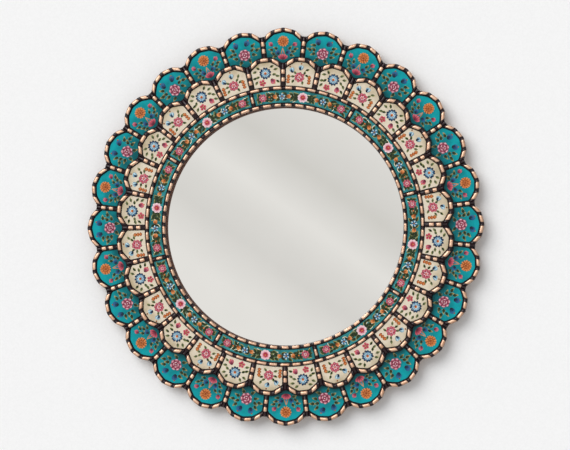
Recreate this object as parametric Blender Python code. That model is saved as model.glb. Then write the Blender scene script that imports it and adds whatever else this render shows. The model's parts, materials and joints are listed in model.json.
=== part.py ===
"""Round wall mirror with a scalloped frame of painted glass tiles set between raised beads.

The mirror hangs on a wall that lies in the XZ plane: +Z is up, the front faces -Y, and the origin is the
centre of the rear face, which rests on the wall. Everything is in metres. Outlines are drawn in the XZ plane
for a petal that points up, and the copies are turned clockwise round the mirror's axis.
"""

import math

import bmesh
import bpy
from mathutils import Matrix, Vector

# The round opening, and the band of glass strips round it
OPENING_RADIUS = 0.1793
BAND_WIDTH = 0.0186
BAND_STRIP_COUNT = 8
BAND_PHASE = math.radians(31.2)

# The raised course of arched tiles, and the outer course of petals, half a pitch out of step with it
PETAL_COUNT = 28
CREAM_HEIGHT = 0.0373
ARCH_RISE = 0.0122
PETAL_HEIGHT = 0.0438
PETAL_RISE = 0.0150

# Beads and glass
BEAD_WIDTH = 0.0064
RING_BEAD_WIDTH = 0.0050
BEAD_HEIGHT = 0.0050
BEAD_CROWN = 0.0020
BEAD_SETBACK = 0.0006
TILE_GAP = 0.0010
TILE_THICK = 0.0020
MIRROR_THICK = 0.0030
MIRROR_LAP = 0.0090
MIRROR_EDGE_CHAMFER = 0.0005
MIRROR_CLEARANCE = 0.0006

# Boards
BOARD_THICK = 0.0090
COURSE_THICK = 0.0055
PANEL_THICK = 0.0032
PANEL_LAP = 0.0120
GLUE_FILM = 0.0003

# Screws, which all share one shank and head
PANEL_SCREW_COUNT = 4
SCREW_SHANK_RADIUS = 0.0015
SCREW_HEAD_RADIUS = 0.0030
SCREW_DOME_RADIUS = 0.0021
SCREW_SINK_HEIGHT = 0.0016
SCREW_PAN_HEIGHT = 0.0009
SCREW_TIP_LENGTH = 0.0025
SCREW_TIP_RADIUS = 0.0004
SCREW_CLEARANCE = 0.0003
SCREW_COVER = 0.0025

# Ring hanger on the rear face of the board
HANGER_DROP = 0.0380
STRAP_WIDTH = 0.0100
STRAP_LENGTH = 0.0340
STRAP_THICK = 0.0006
STRAP_CURL_END = math.radians(-140)
STRAP_SCREW_COUNT = 2
STRAP_SCREW_PITCH = 0.0120
STRAP_SCREW_END = 0.0070
RING_WIRE_RADIUS = 0.0009
RING_WIRE_CLEARANCE = 0.0001
RING_SIDE_ROOM = 0.0025
RING_INNER_HEIGHT = 0.0150
RING_CORNER_RADIUS = 0.0022

# How finely round shapes are divided, and what counts as one point or one smooth surface
HALF_ARC_STEPS = 3
CIRCLE_STEPS_PER_PETAL = 3
RING_BEAD_STEPS_PER_PETAL = 2
BAND_STRIP_STEPS = 6
TURNED_STEPS = 12
WIRE_SIDES = 8
CURL_STEPS = 12
RING_TOP_STEPS = 12
MERGE_DISTANCE = 0.00003
SMOOTH_ANGLE = math.radians(50)
CUT_MARGIN = 0.0020

# Radii that follow, from the opening outwards
PITCH = 2 * math.pi / PETAL_COUNT
HALF_PITCH = PITCH / 2
INNER_BEAD_START = OPENING_RADIUS + BEAD_SETBACK
INNER_BEAD_END = INNER_BEAD_START + RING_BEAD_WIDTH
BAND_START = INNER_BEAD_END + TILE_GAP
BAND_END = BAND_START + BAND_WIDTH
OUTER_BEAD_START = BAND_END + TILE_GAP
OUTER_BEAD_END = OUTER_BEAD_START + RING_BEAD_WIDTH
CREAM_START = OUTER_BEAD_END + TILE_GAP
ARCH_APEX_RADIUS = CREAM_START + CREAM_HEIGHT + TILE_GAP + BEAD_WIDTH
PETAL_APEX_RADIUS = ARCH_APEX_RADIUS + PETAL_HEIGHT
MIRROR_RADIUS = OPENING_RADIUS + MIRROR_LAP
REBATE_RADIUS = MIRROR_RADIUS + MIRROR_CLEARANCE
PANEL_RADIUS = REBATE_RADIUS + PANEL_LAP
PANEL_SCREW_RADIUS = REBATE_RADIUS + PANEL_LAP / 2

# Depths that follow, measured from the wall towards the viewer
BOARD_BACK = PANEL_THICK + GLUE_FILM
BOARD_FRONT = BOARD_BACK + BOARD_THICK
MIRROR_BACK = PANEL_THICK + GLUE_FILM
MIRROR_FRONT = MIRROR_BACK + MIRROR_THICK
LIP_BACK = MIRROR_FRONT + GLUE_FILM
COURSE_BACK = BOARD_FRONT + GLUE_FILM
COURSE_FRONT = COURSE_BACK + COURSE_THICK
COURSE_GLASS_BACK = COURSE_FRONT + GLUE_FILM
SCREW_END = BOARD_FRONT - SCREW_COVER

# The hanger's hinge line: the curl of the strap lies behind the strap's own face on the board
CURL_INNER_RADIUS = RING_WIRE_RADIUS + RING_WIRE_CLEARANCE
CURL_OUTER_RADIUS = CURL_INNER_RADIUS + STRAP_THICK
STRAP_FRONT = BOARD_BACK - GLUE_FILM
STRAP_BACK = STRAP_FRONT - STRAP_THICK
HINGE_DEPTH = STRAP_FRONT - CURL_OUTER_RADIUS
HINGE_HEIGHT = PETAL_APEX_RADIUS - HANGER_DROP


def clear_scene():
    """Removes every object that the scene starts with."""
    for obj in list(bpy.data.objects):
        bpy.data.objects.remove(obj)


def material(name, colour, roughness, metallic=0.0):
    """A Principled BSDF of one colour."""
    made = bpy.data.materials.new(name)
    made.use_nodes = True
    shader = made.node_tree.nodes["Principled BSDF"]
    shader.inputs["Base Color"].default_value = (*colour, 1.0)
    shader.inputs["Roughness"].default_value = roughness
    shader.inputs["Metallic"].default_value = metallic
    return made


def add_object(name, mesh, finish, parent):
    """Links a mesh as a named piece of the mirror."""
    obj = bpy.data.objects.new(name, mesh)
    bpy.context.scene.collection.objects.link(obj)
    if not mesh.materials:
        mesh.materials.append(finish)
    obj.parent = parent
    return obj


def finished_mesh(bm, name):
    """Turns a bmesh into a mesh with its faces pointing out and its round surfaces shaded smooth."""
    bmesh.ops.recalc_face_normals(bm, faces=bm.faces)
    mesh = bpy.data.meshes.new(name)
    bm.to_mesh(mesh)
    bm.free()
    mesh.shade_smooth()
    mesh.set_sharp_from_angle(angle=SMOOTH_ANGLE)
    return mesh


def grow_faces(bm, faces, along):
    """Extrudes flat faces into a solid and returns the moved faces."""
    grown = bmesh.ops.extrude_face_region(bm, geom=faces)["geom"]
    moved = [g for g in grown if isinstance(g, bmesh.types.BMVert)]
    bmesh.ops.translate(bm, verts=moved, vec=along)
    return {g for g in grown if isinstance(g, bmesh.types.BMFace)}


def turned(point, angle):
    """A point of the XZ plane turned clockwise, as the viewer sees it, by an angle."""
    x, z = point
    return (
        x * math.cos(angle) + z * math.sin(angle),
        z * math.cos(angle) - x * math.sin(angle),
    )


def mirrored(points):
    """The points reflected in the petal's centre line, in reverse order."""
    return [(-x, z) for x, z in reversed(points)]


def on_circle(radius, angle):
    """The point at this radius, at an angle clockwise from straight up."""
    return turned((0.0, radius), angle)


def beside_divider(along, offset):
    """A point at a distance along the line between two petals, and at an offset from it towards the petal."""
    return turned((-offset, along), HALF_PITCH)


class Scallop:
    """A row of equal arcs round the mirror: each rises to an apex and meets its neighbours in valleys."""

    def __init__(self, apex_radius, rise_from_valley):
        valley_x, valley_z = on_circle(apex_radius - rise_from_valley, HALF_PITCH)
        rise = apex_radius - valley_z
        self.arc_radius = (valley_x**2 + rise**2) / (2 * rise)
        self.centre = apex_radius - self.arc_radius

    def point(self, inset, angle):
        """A point of the arc drawn in by an inset, at an angle from the centre line."""
        radius = self.arc_radius - inset
        return (radius * math.sin(angle), self.centre + radius * math.cos(angle))

    def end_angle(self, inset, offset):
        """The angle where the inset arc meets a line beside the divider."""
        to_line = self.centre * math.sin(HALF_PITCH) - offset
        return math.pi / 2 + HALF_PITCH - math.acos(to_line / (self.arc_radius - inset))

    def half_arc(self, inset, offset):
        """Points from the apex to the line beside the divider, on the right of the petal."""
        end = self.end_angle(inset, offset)
        return [self.point(inset, end * i / HALF_ARC_STEPS) for i in range(HALF_ARC_STEPS + 1)]


PETAL = Scallop(PETAL_APEX_RADIUS, PETAL_RISE)
ARCH = Scallop(ARCH_APEX_RADIUS, ARCH_RISE)


def sector_outline(scallop):
    """The scalloped edge from one apex over a valley to the next apex, clockwise."""
    right = scallop.half_arc(0.0, 0.0)
    left = [turned(p, PITCH) for p in mirrored(right)]
    return right + left[1:]


def arc_of_circle(radius, start, end, steps):
    """Points on a circle round the mirror's axis from one angle to another."""
    return [on_circle(radius, start + (end - start) * i / steps) for i in range(steps + 1)]


def ring_sector(outer_edge, radius, steps):
    """A sector between an outer edge, one petal wide, and a circle inside it."""
    return outer_edge + arc_of_circle(radius, PITCH, 0.0, steps)


def lattice_sector(scallop, tooth_end_radius):
    """A sector of a bead that follows a scalloped edge, with a tooth that divides two tiles."""
    half = BEAD_WIDTH / 2
    inner = scallop.half_arc(BEAD_WIDTH, half)
    along = math.sqrt(tooth_end_radius**2 - half**2)
    right_side = inner + [beside_divider(along, half)]
    left_side = [turned(p, PITCH) for p in mirrored(right_side)]
    return sector_outline(scallop) + left_side[::-1] + right_side[::-1]


def sector_solid(name, sector, back, front, chamfer=0.0):
    """A flat solid made of one sector repeated round the mirror, with its front edges chamfered."""
    bm = bmesh.new()
    for i in range(PETAL_COUNT):
        corners = [turned(p, i * PITCH) for p in sector]
        bm.faces.new([bm.verts.new((x, -back, z)) for x, z in corners])
    bmesh.ops.remove_doubles(bm, verts=bm.verts, dist=MERGE_DISTANCE)
    front_faces = grow_faces(bm, bm.faces[:], (0.0, back - front, 0.0))
    if chamfer:
        edges = [e for f in front_faces for e in f.edges]
        rim = [e for e in edges if any(f not in front_faces for f in e.link_faces)]
        bmesh.ops.bevel(bm, geom=rim, offset=chamfer, segments=1, affect="EDGES")
    return finished_mesh(bm, name)


def prism(name, outline, back, front):
    """A flat solid with this outline in the XZ plane."""
    bm = bmesh.new()
    base = bm.faces.new([bm.verts.new((x, -back, z)) for x, z in outline])
    grow_faces(bm, [base], (0.0, back - front, 0.0))
    return finished_mesh(bm, name)


def turned_solid(name, profile, steps):
    """A solid of revolution about Y from (radius, depth) points, closed by a flat cap at each end."""
    bm = bmesh.new()
    loops = []
    for radius, depth in profile:
        angles = [2 * math.pi * (i + 0.5) / steps for i in range(steps)]
        places = [on_circle(radius, a) for a in angles]
        loops.append([bm.verts.new((x, -depth, z)) for x, z in places])
    for first, second in zip(loops, loops[1:]):
        for i in range(steps):
            j = (i + 1) % steps
            bm.faces.new((first[i], first[j], second[j], second[i]))
    bm.faces.new(loops[0])
    bm.faces.new(loops[-1])
    return finished_mesh(bm, name)


def cut(obj, cutter):
    """Takes a cutter's shape out of a piece and keeps the cutter as a hidden guide."""
    cutter.hide_render = True
    cutter.display_type = "WIRE"
    modifier = obj.modifiers.new("cut_" + cutter.name, "BOOLEAN")
    modifier.operation = "DIFFERENCE"
    modifier.object = cutter


def bead_chamfer(width):
    """How far a bead of this width is cut back on each side of its crown, at most half its height."""
    return min((width - BEAD_CROWN) / 2, BEAD_HEIGHT / 2)


def sunk_screw_profile(grow):
    """Half outline of a countersunk screw, head towards the wall, grown for the hole that takes it."""
    length = SCREW_END - SCREW_CLEARANCE
    return [
        (SCREW_HEAD_RADIUS + grow, 0.0),
        (SCREW_SHANK_RADIUS + grow, SCREW_SINK_HEIGHT),
        (SCREW_SHANK_RADIUS + grow, length - SCREW_TIP_LENGTH),
        (SCREW_TIP_RADIUS + grow, length + grow),
    ]


def pan_screw_profile(length):
    """Half outline of a screw whose domed head stands behind its seat, at depth zero."""
    return [
        (SCREW_DOME_RADIUS, -SCREW_PAN_HEIGHT),
        (SCREW_HEAD_RADIUS, -SCREW_PAN_HEIGHT / 2),
        (SCREW_HEAD_RADIUS, 0.0),
        (SCREW_SHANK_RADIUS, 0.0),
        (SCREW_SHANK_RADIUS, length - SCREW_TIP_LENGTH),
        (SCREW_TIP_RADIUS, length),
    ]


def shank_hole_profile(length):
    """Half outline of the straight hole for a shank, open at both ends of what it passes through."""
    radius = SCREW_SHANK_RADIUS + SCREW_CLEARANCE
    return [(radius, -CUT_MARGIN), (radius, length + SCREW_CLEARANCE)]


def outer_tile_outline():
    """The petal-shaped glass: a round top, straight sides and two hollow edges over the arches."""
    side = BEAD_WIDTH / 2 + TILE_GAP
    top = PETAL.half_arc(BEAD_WIDTH + TILE_GAP, side)
    reach = ARCH.arc_radius + TILE_GAP
    first = math.asin(side / reach)
    last = math.acos(ARCH.centre * math.sin(HALF_PITCH) / reach)
    last = math.pi / 2 - last + HALF_PITCH
    hollow = []
    for i in range(HALF_ARC_STEPS + 1):
        angle = first + (last - first) * i / HALF_ARC_STEPS
        hollow.append(beside_divider(ARCH.centre + reach * math.cos(angle), reach * math.sin(angle)))
    right = top + hollow
    return right[:-1] + mirrored(right)[:-1]


def cream_tile_outline():
    """The arched glass of the raised course: a round top, straight sides and a foot on the band's bead."""
    side = BEAD_WIDTH / 2 + TILE_GAP
    top = ARCH.half_arc(BEAD_WIDTH + TILE_GAP, side)
    foot = beside_divider(math.sqrt(CREAM_START**2 - side**2), side)
    right = top + [foot, on_circle(CREAM_START, 0.0)]
    return right[:-1] + mirrored(right)[:-1]


def band_end(radius, offset):
    """The angle, at a radius, of a line that runs beside a band divider at an offset."""
    return math.asin(offset / radius)


def band_strip_outline():
    """A curved strip of glass between two dividers, clockwise from the first of them."""
    side = RING_BEAD_WIDTH / 2 + TILE_GAP
    span = 2 * math.pi / BAND_STRIP_COUNT
    outer = band_end(BAND_END, side)
    inner = band_end(BAND_START, side)
    edge = arc_of_circle(BAND_END, outer, span - outer, BAND_STRIP_STEPS)
    return edge + arc_of_circle(BAND_START, span - inner, inner, BAND_STRIP_STEPS)


def build_boards(root, wood, backing):
    """The board that carries everything, the raised course with its cream tiles, and the rear panel."""
    edge = ring_sector(sector_outline(PETAL), OPENING_RADIUS, CIRCLE_STEPS_PER_PETAL)
    board = add_object("base_board", sector_solid("base_board", edge, BOARD_BACK, BOARD_FRONT), wood, root)
    rebate = [(REBATE_RADIUS, BOARD_BACK - CUT_MARGIN), (REBATE_RADIUS, LIP_BACK)]
    steps = PETAL_COUNT * CIRCLE_STEPS_PER_PETAL
    cut(board, add_object("rebate_cutter", turned_solid("rebate_cutter", rebate, steps), wood, root))

    edge = ring_sector(sector_outline(ARCH), OPENING_RADIUS, CIRCLE_STEPS_PER_PETAL)
    course = sector_solid("raised_course", edge, COURSE_BACK, COURSE_FRONT)
    course = add_object("raised_course", course, wood, root)
    course.rotation_euler.y = HALF_PITCH
    tiles = add_object("cream_tiles", cream_tile_group(), wood, root)
    tiles.rotation_euler.y = HALF_PITCH
    tiles.hide_render = True
    tiles.display_type = "WIRE"
    joined = course.modifiers.new("cream_tiles", "BOOLEAN")
    joined.operation = "UNION"
    joined.object = tiles

    disc = turned_solid("back_panel", [(PANEL_RADIUS, 0.0), (PANEL_RADIUS, PANEL_THICK)], steps)
    panel = add_object("back_panel", disc, backing, root)
    return board, panel


def cream_tile_group():
    """All the arched tiles as one mesh, sunk into the raised course that they are glued to."""
    bm = bmesh.new()
    front = COURSE_GLASS_BACK + TILE_THICK
    sunk = COURSE_FRONT - COURSE_THICK / 2
    tile = prism("cream_tile", cream_tile_outline(), sunk, front)
    for i in range(PETAL_COUNT):
        place = Matrix.Rotation(i * PITCH, 4, "Y")
        before = len(bm.verts)
        bm.from_mesh(tile)
        bm.verts.ensure_lookup_table()
        bmesh.ops.transform(bm, matrix=place, verts=bm.verts[before:])
    return finished_mesh(bm, "cream_tiles")


def build_glass(root, teal, mirror):
    """The petal tiles, the strips of the band and the mirror itself."""
    tile = prism("outer_tile", outer_tile_outline(), COURSE_BACK, COURSE_BACK + TILE_THICK)
    for i in range(PETAL_COUNT):
        made = add_object(f"outer_tile_{i + 1:02d}", tile, teal, root)
        made.rotation_euler.y = i * PITCH
    strip = prism("band_strip", band_strip_outline(), COURSE_GLASS_BACK, COURSE_GLASS_BACK + TILE_THICK)
    for i in range(BAND_STRIP_COUNT):
        made = add_object(f"band_strip_{i + 1}", strip, teal, root)
        made.rotation_euler.y = BAND_PHASE + i * 2 * math.pi / BAND_STRIP_COUNT
    ground = MIRROR_RADIUS - MIRROR_EDGE_CHAMFER
    profile = [
        (ground, MIRROR_BACK),
        (MIRROR_RADIUS, MIRROR_BACK + MIRROR_EDGE_CHAMFER),
        (MIRROR_RADIUS, MIRROR_FRONT - MIRROR_EDGE_CHAMFER),
        (ground, MIRROR_FRONT),
    ]
    disc = turned_solid("mirror_glass", profile, PETAL_COUNT * CIRCLE_STEPS_PER_PETAL)
    add_object("mirror_glass", disc, mirror, root)


def build_beads(root, leaf):
    """The beads round the petals, round the arches and along both edges of the band."""
    chamfer = bead_chamfer(BEAD_WIDTH)
    sector = lattice_sector(PETAL, ARCH_APEX_RADIUS + GLUE_FILM)
    mesh = sector_solid("petal_beads", sector, COURSE_BACK, COURSE_BACK + BEAD_HEIGHT, chamfer)
    add_object("petal_beads", mesh, leaf, root)

    back = COURSE_GLASS_BACK
    front = back + BEAD_HEIGHT
    sector = lattice_sector(ARCH, OUTER_BEAD_END + GLUE_FILM)
    mesh = sector_solid("arch_beads", sector, back, front, chamfer)
    add_object("arch_beads", mesh, leaf, root).rotation_euler.y = HALF_PITCH

    rings = {
        "band_outer_bead": (OUTER_BEAD_START, OUTER_BEAD_END),
        "band_inner_bead": (INNER_BEAD_START, INNER_BEAD_END),
    }
    for name, (start, end) in rings.items():
        outer = arc_of_circle(end, 0.0, PITCH, RING_BEAD_STEPS_PER_PETAL)
        sector = ring_sector(outer, start, RING_BEAD_STEPS_PER_PETAL)
        add_object(name, sector_solid(name, sector, back, front, bead_chamfer(RING_BEAD_WIDTH)), leaf, root)

    bar = divider_bar(back, front)
    for i in range(BAND_STRIP_COUNT):
        made = add_object(f"band_divider_{i + 1}", bar, leaf, root)
        made.rotation_euler.y = BAND_PHASE + i * 2 * math.pi / BAND_STRIP_COUNT


def divider_bar(back, front):
    """A short bead across the band, with its ends square to the two ring beads."""
    half = RING_BEAD_WIDTH / 2
    chamfer = bead_chamfer(RING_BEAD_WIDTH)
    start = INNER_BEAD_END + GLUE_FILM
    facet = math.cos(HALF_PITCH / RING_BEAD_STEPS_PER_PETAL)
    end = math.sqrt((OUTER_BEAD_START * facet) ** 2 - half**2) - GLUE_FILM
    section = [
        (-half, back),
        (-half, front - chamfer),
        (chamfer - half, front),
        (half - chamfer, front),
        (half, front - chamfer),
        (half, back),
    ]
    bm = bmesh.new()
    face = bm.faces.new([bm.verts.new((x, -depth, start)) for x, depth in section])
    grow_faces(bm, [face], (0.0, 0.0, end - start))
    return finished_mesh(bm, "band_divider")


def build_panel_screws(root, board, panel, steel):
    """Countersunk screws through the rear panel into the board, each in its own hole."""
    screw = turned_solid("panel_screw", sunk_screw_profile(0.0), TURNED_STEPS)
    wall = sunk_screw_profile(SCREW_CLEARANCE)
    mouth = (SCREW_HEAD_RADIUS + SCREW_CLEARANCE, -CUT_MARGIN)
    hole = turned_solid("panel_screw_hole", [mouth] + wall, TURNED_STEPS)
    for i in range(PANEL_SCREW_COUNT):
        angle = (i + 0.5) * 2 * math.pi / PANEL_SCREW_COUNT
        x, z = on_circle(PANEL_SCREW_RADIUS, angle)
        place = Vector((x, -SCREW_CLEARANCE, z))
        made = add_object(f"panel_screw_{i + 1}", screw, steel, root)
        made.location = place
        for piece in (board, panel):
            cutter = add_object(f"{piece.name}_hole_{i + 1}", hole, steel, root)
            cutter.location = place
            cut(piece, cutter)


def build_hanger(root, board, steel):
    """The strap with its curled end, its screws, and the ring that swings in the curl."""
    hinge = bpy.data.objects.new("hanger_hinge", None)
    bpy.context.scene.collection.objects.link(hinge)
    hinge.parent = root
    hinge.location = (0.0, -HINGE_DEPTH, HINGE_HEIGHT)
    strap = add_object("hanger_strap", strap_mesh(), steel, hinge)
    add_object("hanger_ring", ring_mesh(), steel, hinge)

    seat = STRAP_BACK - GLUE_FILM
    length = SCREW_END - seat
    screw = turned_solid("hanger_screw", pan_screw_profile(length), TURNED_STEPS)
    hole = turned_solid("hanger_screw_hole", shank_hole_profile(length), TURNED_STEPS)
    lowest = HINGE_HEIGHT - STRAP_LENGTH + STRAP_SCREW_END
    for i in range(STRAP_SCREW_COUNT):
        place = Vector((0.0, -seat, lowest + i * STRAP_SCREW_PITCH))
        made = add_object(f"hanger_screw_{i + 1}", screw, steel, root)
        made.location = place
        for piece in (board, strap):
            cutter = add_object(f"{piece.name}_hanger_hole_{i + 1}", hole, steel, root)
            cutter.location = place
            cut(piece, cutter)


def strap_mesh():
    """The strap in side view, a flat leaf that curls round the hinge line, drawn to its width along X."""
    turns = [math.pi + (STRAP_CURL_END - math.pi) * i / CURL_STEPS for i in range(CURL_STEPS + 1)]
    outside = [(CURL_OUTER_RADIUS * math.cos(a), CURL_OUTER_RADIUS * math.sin(a)) for a in turns]
    inside = [(CURL_INNER_RADIUS * math.cos(a), CURL_INNER_RADIUS * math.sin(a)) for a in reversed(turns)]
    foot = [(-CURL_INNER_RADIUS, -STRAP_LENGTH), (-CURL_OUTER_RADIUS, -STRAP_LENGTH)]
    bm = bmesh.new()
    face = bm.faces.new([bm.verts.new((-STRAP_WIDTH / 2, y, z)) for y, z in outside + inside + foot])
    grow_faces(bm, [face], (STRAP_WIDTH, 0.0, 0.0))
    return finished_mesh(bm, "hanger_strap")


def ring_path():
    """Centre line of the ring's wire: a straight bar in the curl, two sides and a round top."""
    half = STRAP_WIDTH / 2 + RING_SIDE_ROOM + RING_WIRE_RADIUS
    corner = RING_CORNER_RADIUS
    top = RING_INNER_HEIGHT + 2 * RING_WIRE_RADIUS - half
    lower = [math.radians(-90 + 90 * i / HALF_ARC_STEPS) for i in range(HALF_ARC_STEPS + 1)]
    upper = [math.pi * i / RING_TOP_STEPS for i in range(RING_TOP_STEPS + 1)]
    right = [(half - corner + corner * math.cos(a), corner + corner * math.sin(a)) for a in lower]
    left = [(-x, z) for x, z in reversed(right)]
    return right + [(half * math.cos(a), top + half * math.sin(a)) for a in upper] + left


def ring_mesh():
    """The ring as a round wire swept along its closed centre line."""
    path = [Vector(point) for point in ring_path()]
    bm = bmesh.new()
    loops = []
    for i, place in enumerate(path):
        along = (path[(i + 1) % len(path)] - path[i - 1]).normalized()
        outward = Vector((along.y, -along.x)) * RING_WIRE_RADIUS
        loop = []
        for k in range(WIRE_SIDES):
            angle = 2 * math.pi * (k + 0.5) / WIRE_SIDES
            x, z = place + outward * math.cos(angle)
            loop.append(bm.verts.new((x, RING_WIRE_RADIUS * math.sin(angle), z)))
        loops.append(loop)
    for i, loop in enumerate(loops):
        following = loops[(i + 1) % len(loops)]
        for k in range(WIRE_SIDES):
            j = (k + 1) % WIRE_SIDES
            bm.faces.new((loop[k], loop[j], following[j], following[k]))
    return finished_mesh(bm, "hanger_ring")


def main():
    """Builds the mirror piece by piece, from the wall to the front."""
    clear_scene()
    root = bpy.data.objects.new("wall_mirror", None)
    bpy.context.scene.collection.objects.link(root)
    wood = material("stained_board", (0.060, 0.028, 0.016), 0.55)
    backing = material("hardboard", (0.150, 0.075, 0.036), 0.70)
    teal = material("teal_painted_glass", (0.000, 0.300, 0.330), 0.10)
    mirror = material("silvered_glass", (0.850, 0.860, 0.850), 0.03, 1.0)
    leaf = material("leafed_bead", (0.800, 0.430, 0.230), 0.30, 0.6)
    steel = material("zinc_plated_steel", (0.600, 0.590, 0.560), 0.35, 1.0)
    board, panel = build_boards(root, wood, backing)
    build_glass(root, teal, mirror)
    build_beads(root, leaf)
    build_panel_screws(root, board, panel, steel)
    build_hanger(root, board, steel)


main()
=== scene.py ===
"""Looks of the painted round wall mirror: glass tiles with brushed flowers, leafed beads, boards and hanger.

The frame of solids is loaded first and gives every depth. Each class below dresses one sub-assembly: it
builds finer meshes in the place of the solids that they stand for and gives them their finishes. Outlines
are drawn in the XZ plane for a petal that points up and are turned clockwise round the mirror's axis, as the
viewer sees it. A heading is an angle clockwise from straight up. Lengths are in metres and angles in
radians, unless a name says otherwise.
"""

import json
import logging
import math
import random
from collections.abc import Callable, Sequence
from dataclasses import dataclass, field, replace
from enum import Enum
from typing import Any

import bmesh
import bpy
from mathutils import Matrix, Vector


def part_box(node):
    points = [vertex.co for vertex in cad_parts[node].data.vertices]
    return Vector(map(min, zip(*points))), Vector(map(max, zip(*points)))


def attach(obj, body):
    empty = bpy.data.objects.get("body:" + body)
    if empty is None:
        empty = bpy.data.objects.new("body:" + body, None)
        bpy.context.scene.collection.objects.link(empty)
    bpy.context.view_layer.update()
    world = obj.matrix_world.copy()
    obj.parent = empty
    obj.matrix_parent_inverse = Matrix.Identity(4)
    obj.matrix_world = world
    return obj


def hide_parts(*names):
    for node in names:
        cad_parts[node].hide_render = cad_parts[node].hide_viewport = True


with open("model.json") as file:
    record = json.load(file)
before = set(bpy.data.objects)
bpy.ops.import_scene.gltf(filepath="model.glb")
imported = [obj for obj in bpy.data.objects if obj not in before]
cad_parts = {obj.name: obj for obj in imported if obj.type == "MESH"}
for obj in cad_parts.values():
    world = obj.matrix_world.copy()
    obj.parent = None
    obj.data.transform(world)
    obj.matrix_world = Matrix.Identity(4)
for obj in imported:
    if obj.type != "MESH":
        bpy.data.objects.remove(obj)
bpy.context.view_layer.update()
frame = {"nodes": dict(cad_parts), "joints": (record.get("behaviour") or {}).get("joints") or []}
LOG = logging.getLogger("wall_mirror")

Point = tuple[float, float]
Span = tuple[float, float]
Face = tuple[int, ...]
Tree = bpy.types.NodeTree
Socket = bpy.types.NodeSocket
MM = 0.001
FULL_TURN = 2 * math.pi
AXIS: Point = (0.0, 0.0)
BODY = "mirror"
RING_BODY = "hanger_ring"
# Nearly all of a noise texture lies between these values.
NOISE_LOW, NOISE_HIGH = 0.3, 0.7


def turned(point: Point, angle: float) -> Point:
    """A point of the XZ plane, turned clockwise round the mirror's axis by an angle."""
    x, z = point
    return (x * math.cos(angle) + z * math.sin(angle), z * math.cos(angle) - x * math.sin(angle))


def step_to(start: Point, heading: float, distance: float) -> Point:
    """The point at a distance from a start, along a heading."""
    return (start[0] + distance * math.sin(heading), start[1] + distance * math.cos(heading))


def heading_to(start: Point, end: Point) -> float:
    """Heading from one point to another."""
    return math.atan2(end[0] - start[0], end[1] - start[1])


def mirrored(points: Sequence[Point]) -> list[Point]:
    """The same points on the other side of the centre line, in the opposite order."""
    return [(-x, z) for x, z in reversed(points)]


def in_mm(*pairs: Point) -> list[Point]:
    """Places given in millimetres, as metres."""
    return [(x * MM, z * MM) for x, z in pairs]


def at_depth(outline: Sequence[Point], depth: float) -> list[Vector]:
    """An outline's points at a depth, measured from the wall towards the viewer."""
    return [Vector((x, -depth, z)) for x, z in outline]


def depths(node: str) -> Span:
    """Depth of a solid's rear and front faces, measured from the wall towards the viewer."""
    low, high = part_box(node)
    return -high.y, -low.y


def axis_of(node: str) -> Vector:
    """Where the line along Y through the middle of a solid's box passes."""
    low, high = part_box(node)
    return Vector(((low.x + high.x) / 2, 0.0, (low.z + high.z) / 2))


def linear(hex_colour: str) -> tuple[float, ...]:
    """An sRGB hex colour as the linear red, green, blue and full alpha that a shader socket takes."""
    channels = [int(hex_colour[i : i + 2], 16) / 255 for i in (1, 3, 5)]
    return (*(c / 12.92 if c <= 0.04045 else ((c + 0.055) / 1.055) ** 2.4 for c in channels), 1.0)


def add_node(
    tree: Tree,
    kind: str,
    settings: dict[str | int, Any] | None = None,
    links: dict[str | int, Socket] | None = None,
) -> bpy.types.Node:
    """Adds one shader node with its settings and incoming links.

    Args:
        tree: the node tree that gets the node.
        kind: the node's type name, without the ShaderNode prefix.
        settings: values by the name of a property, or by the name or number of an input socket; "stops"
            holds the places and hex colours of a colour ramp.
        links: output sockets by the name or number of the input socket that takes them.

    Returns:
        The new node.
    """
    made = tree.nodes.new("ShaderNode" + kind)
    for key, value in (settings or {}).items():
        if key == "stops":
            elements = made.color_ramp.elements
            while len(elements) < len(value):
                elements.new(1.0)
            for element, (place, colour) in zip(elements, value):
                element.position = place
                element.color = linear(colour)
        elif isinstance(key, str) and hasattr(made, key):
            setattr(made, key, value)
        else:
            made.inputs[key].default_value = value
    for key, socket in (links or {}).items():
        tree.links.new(socket, made.inputs[key])
    return made


def blank_material(name: str) -> tuple[bpy.types.Material, Tree]:
    """Makes a material with an empty tree.

    Args:
        name: its name.

    Returns:
        The material and its tree.
    """
    made = bpy.data.materials.new(name)
    made.use_nodes = True
    made.node_tree.nodes.clear()
    return made, made.node_tree


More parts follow.
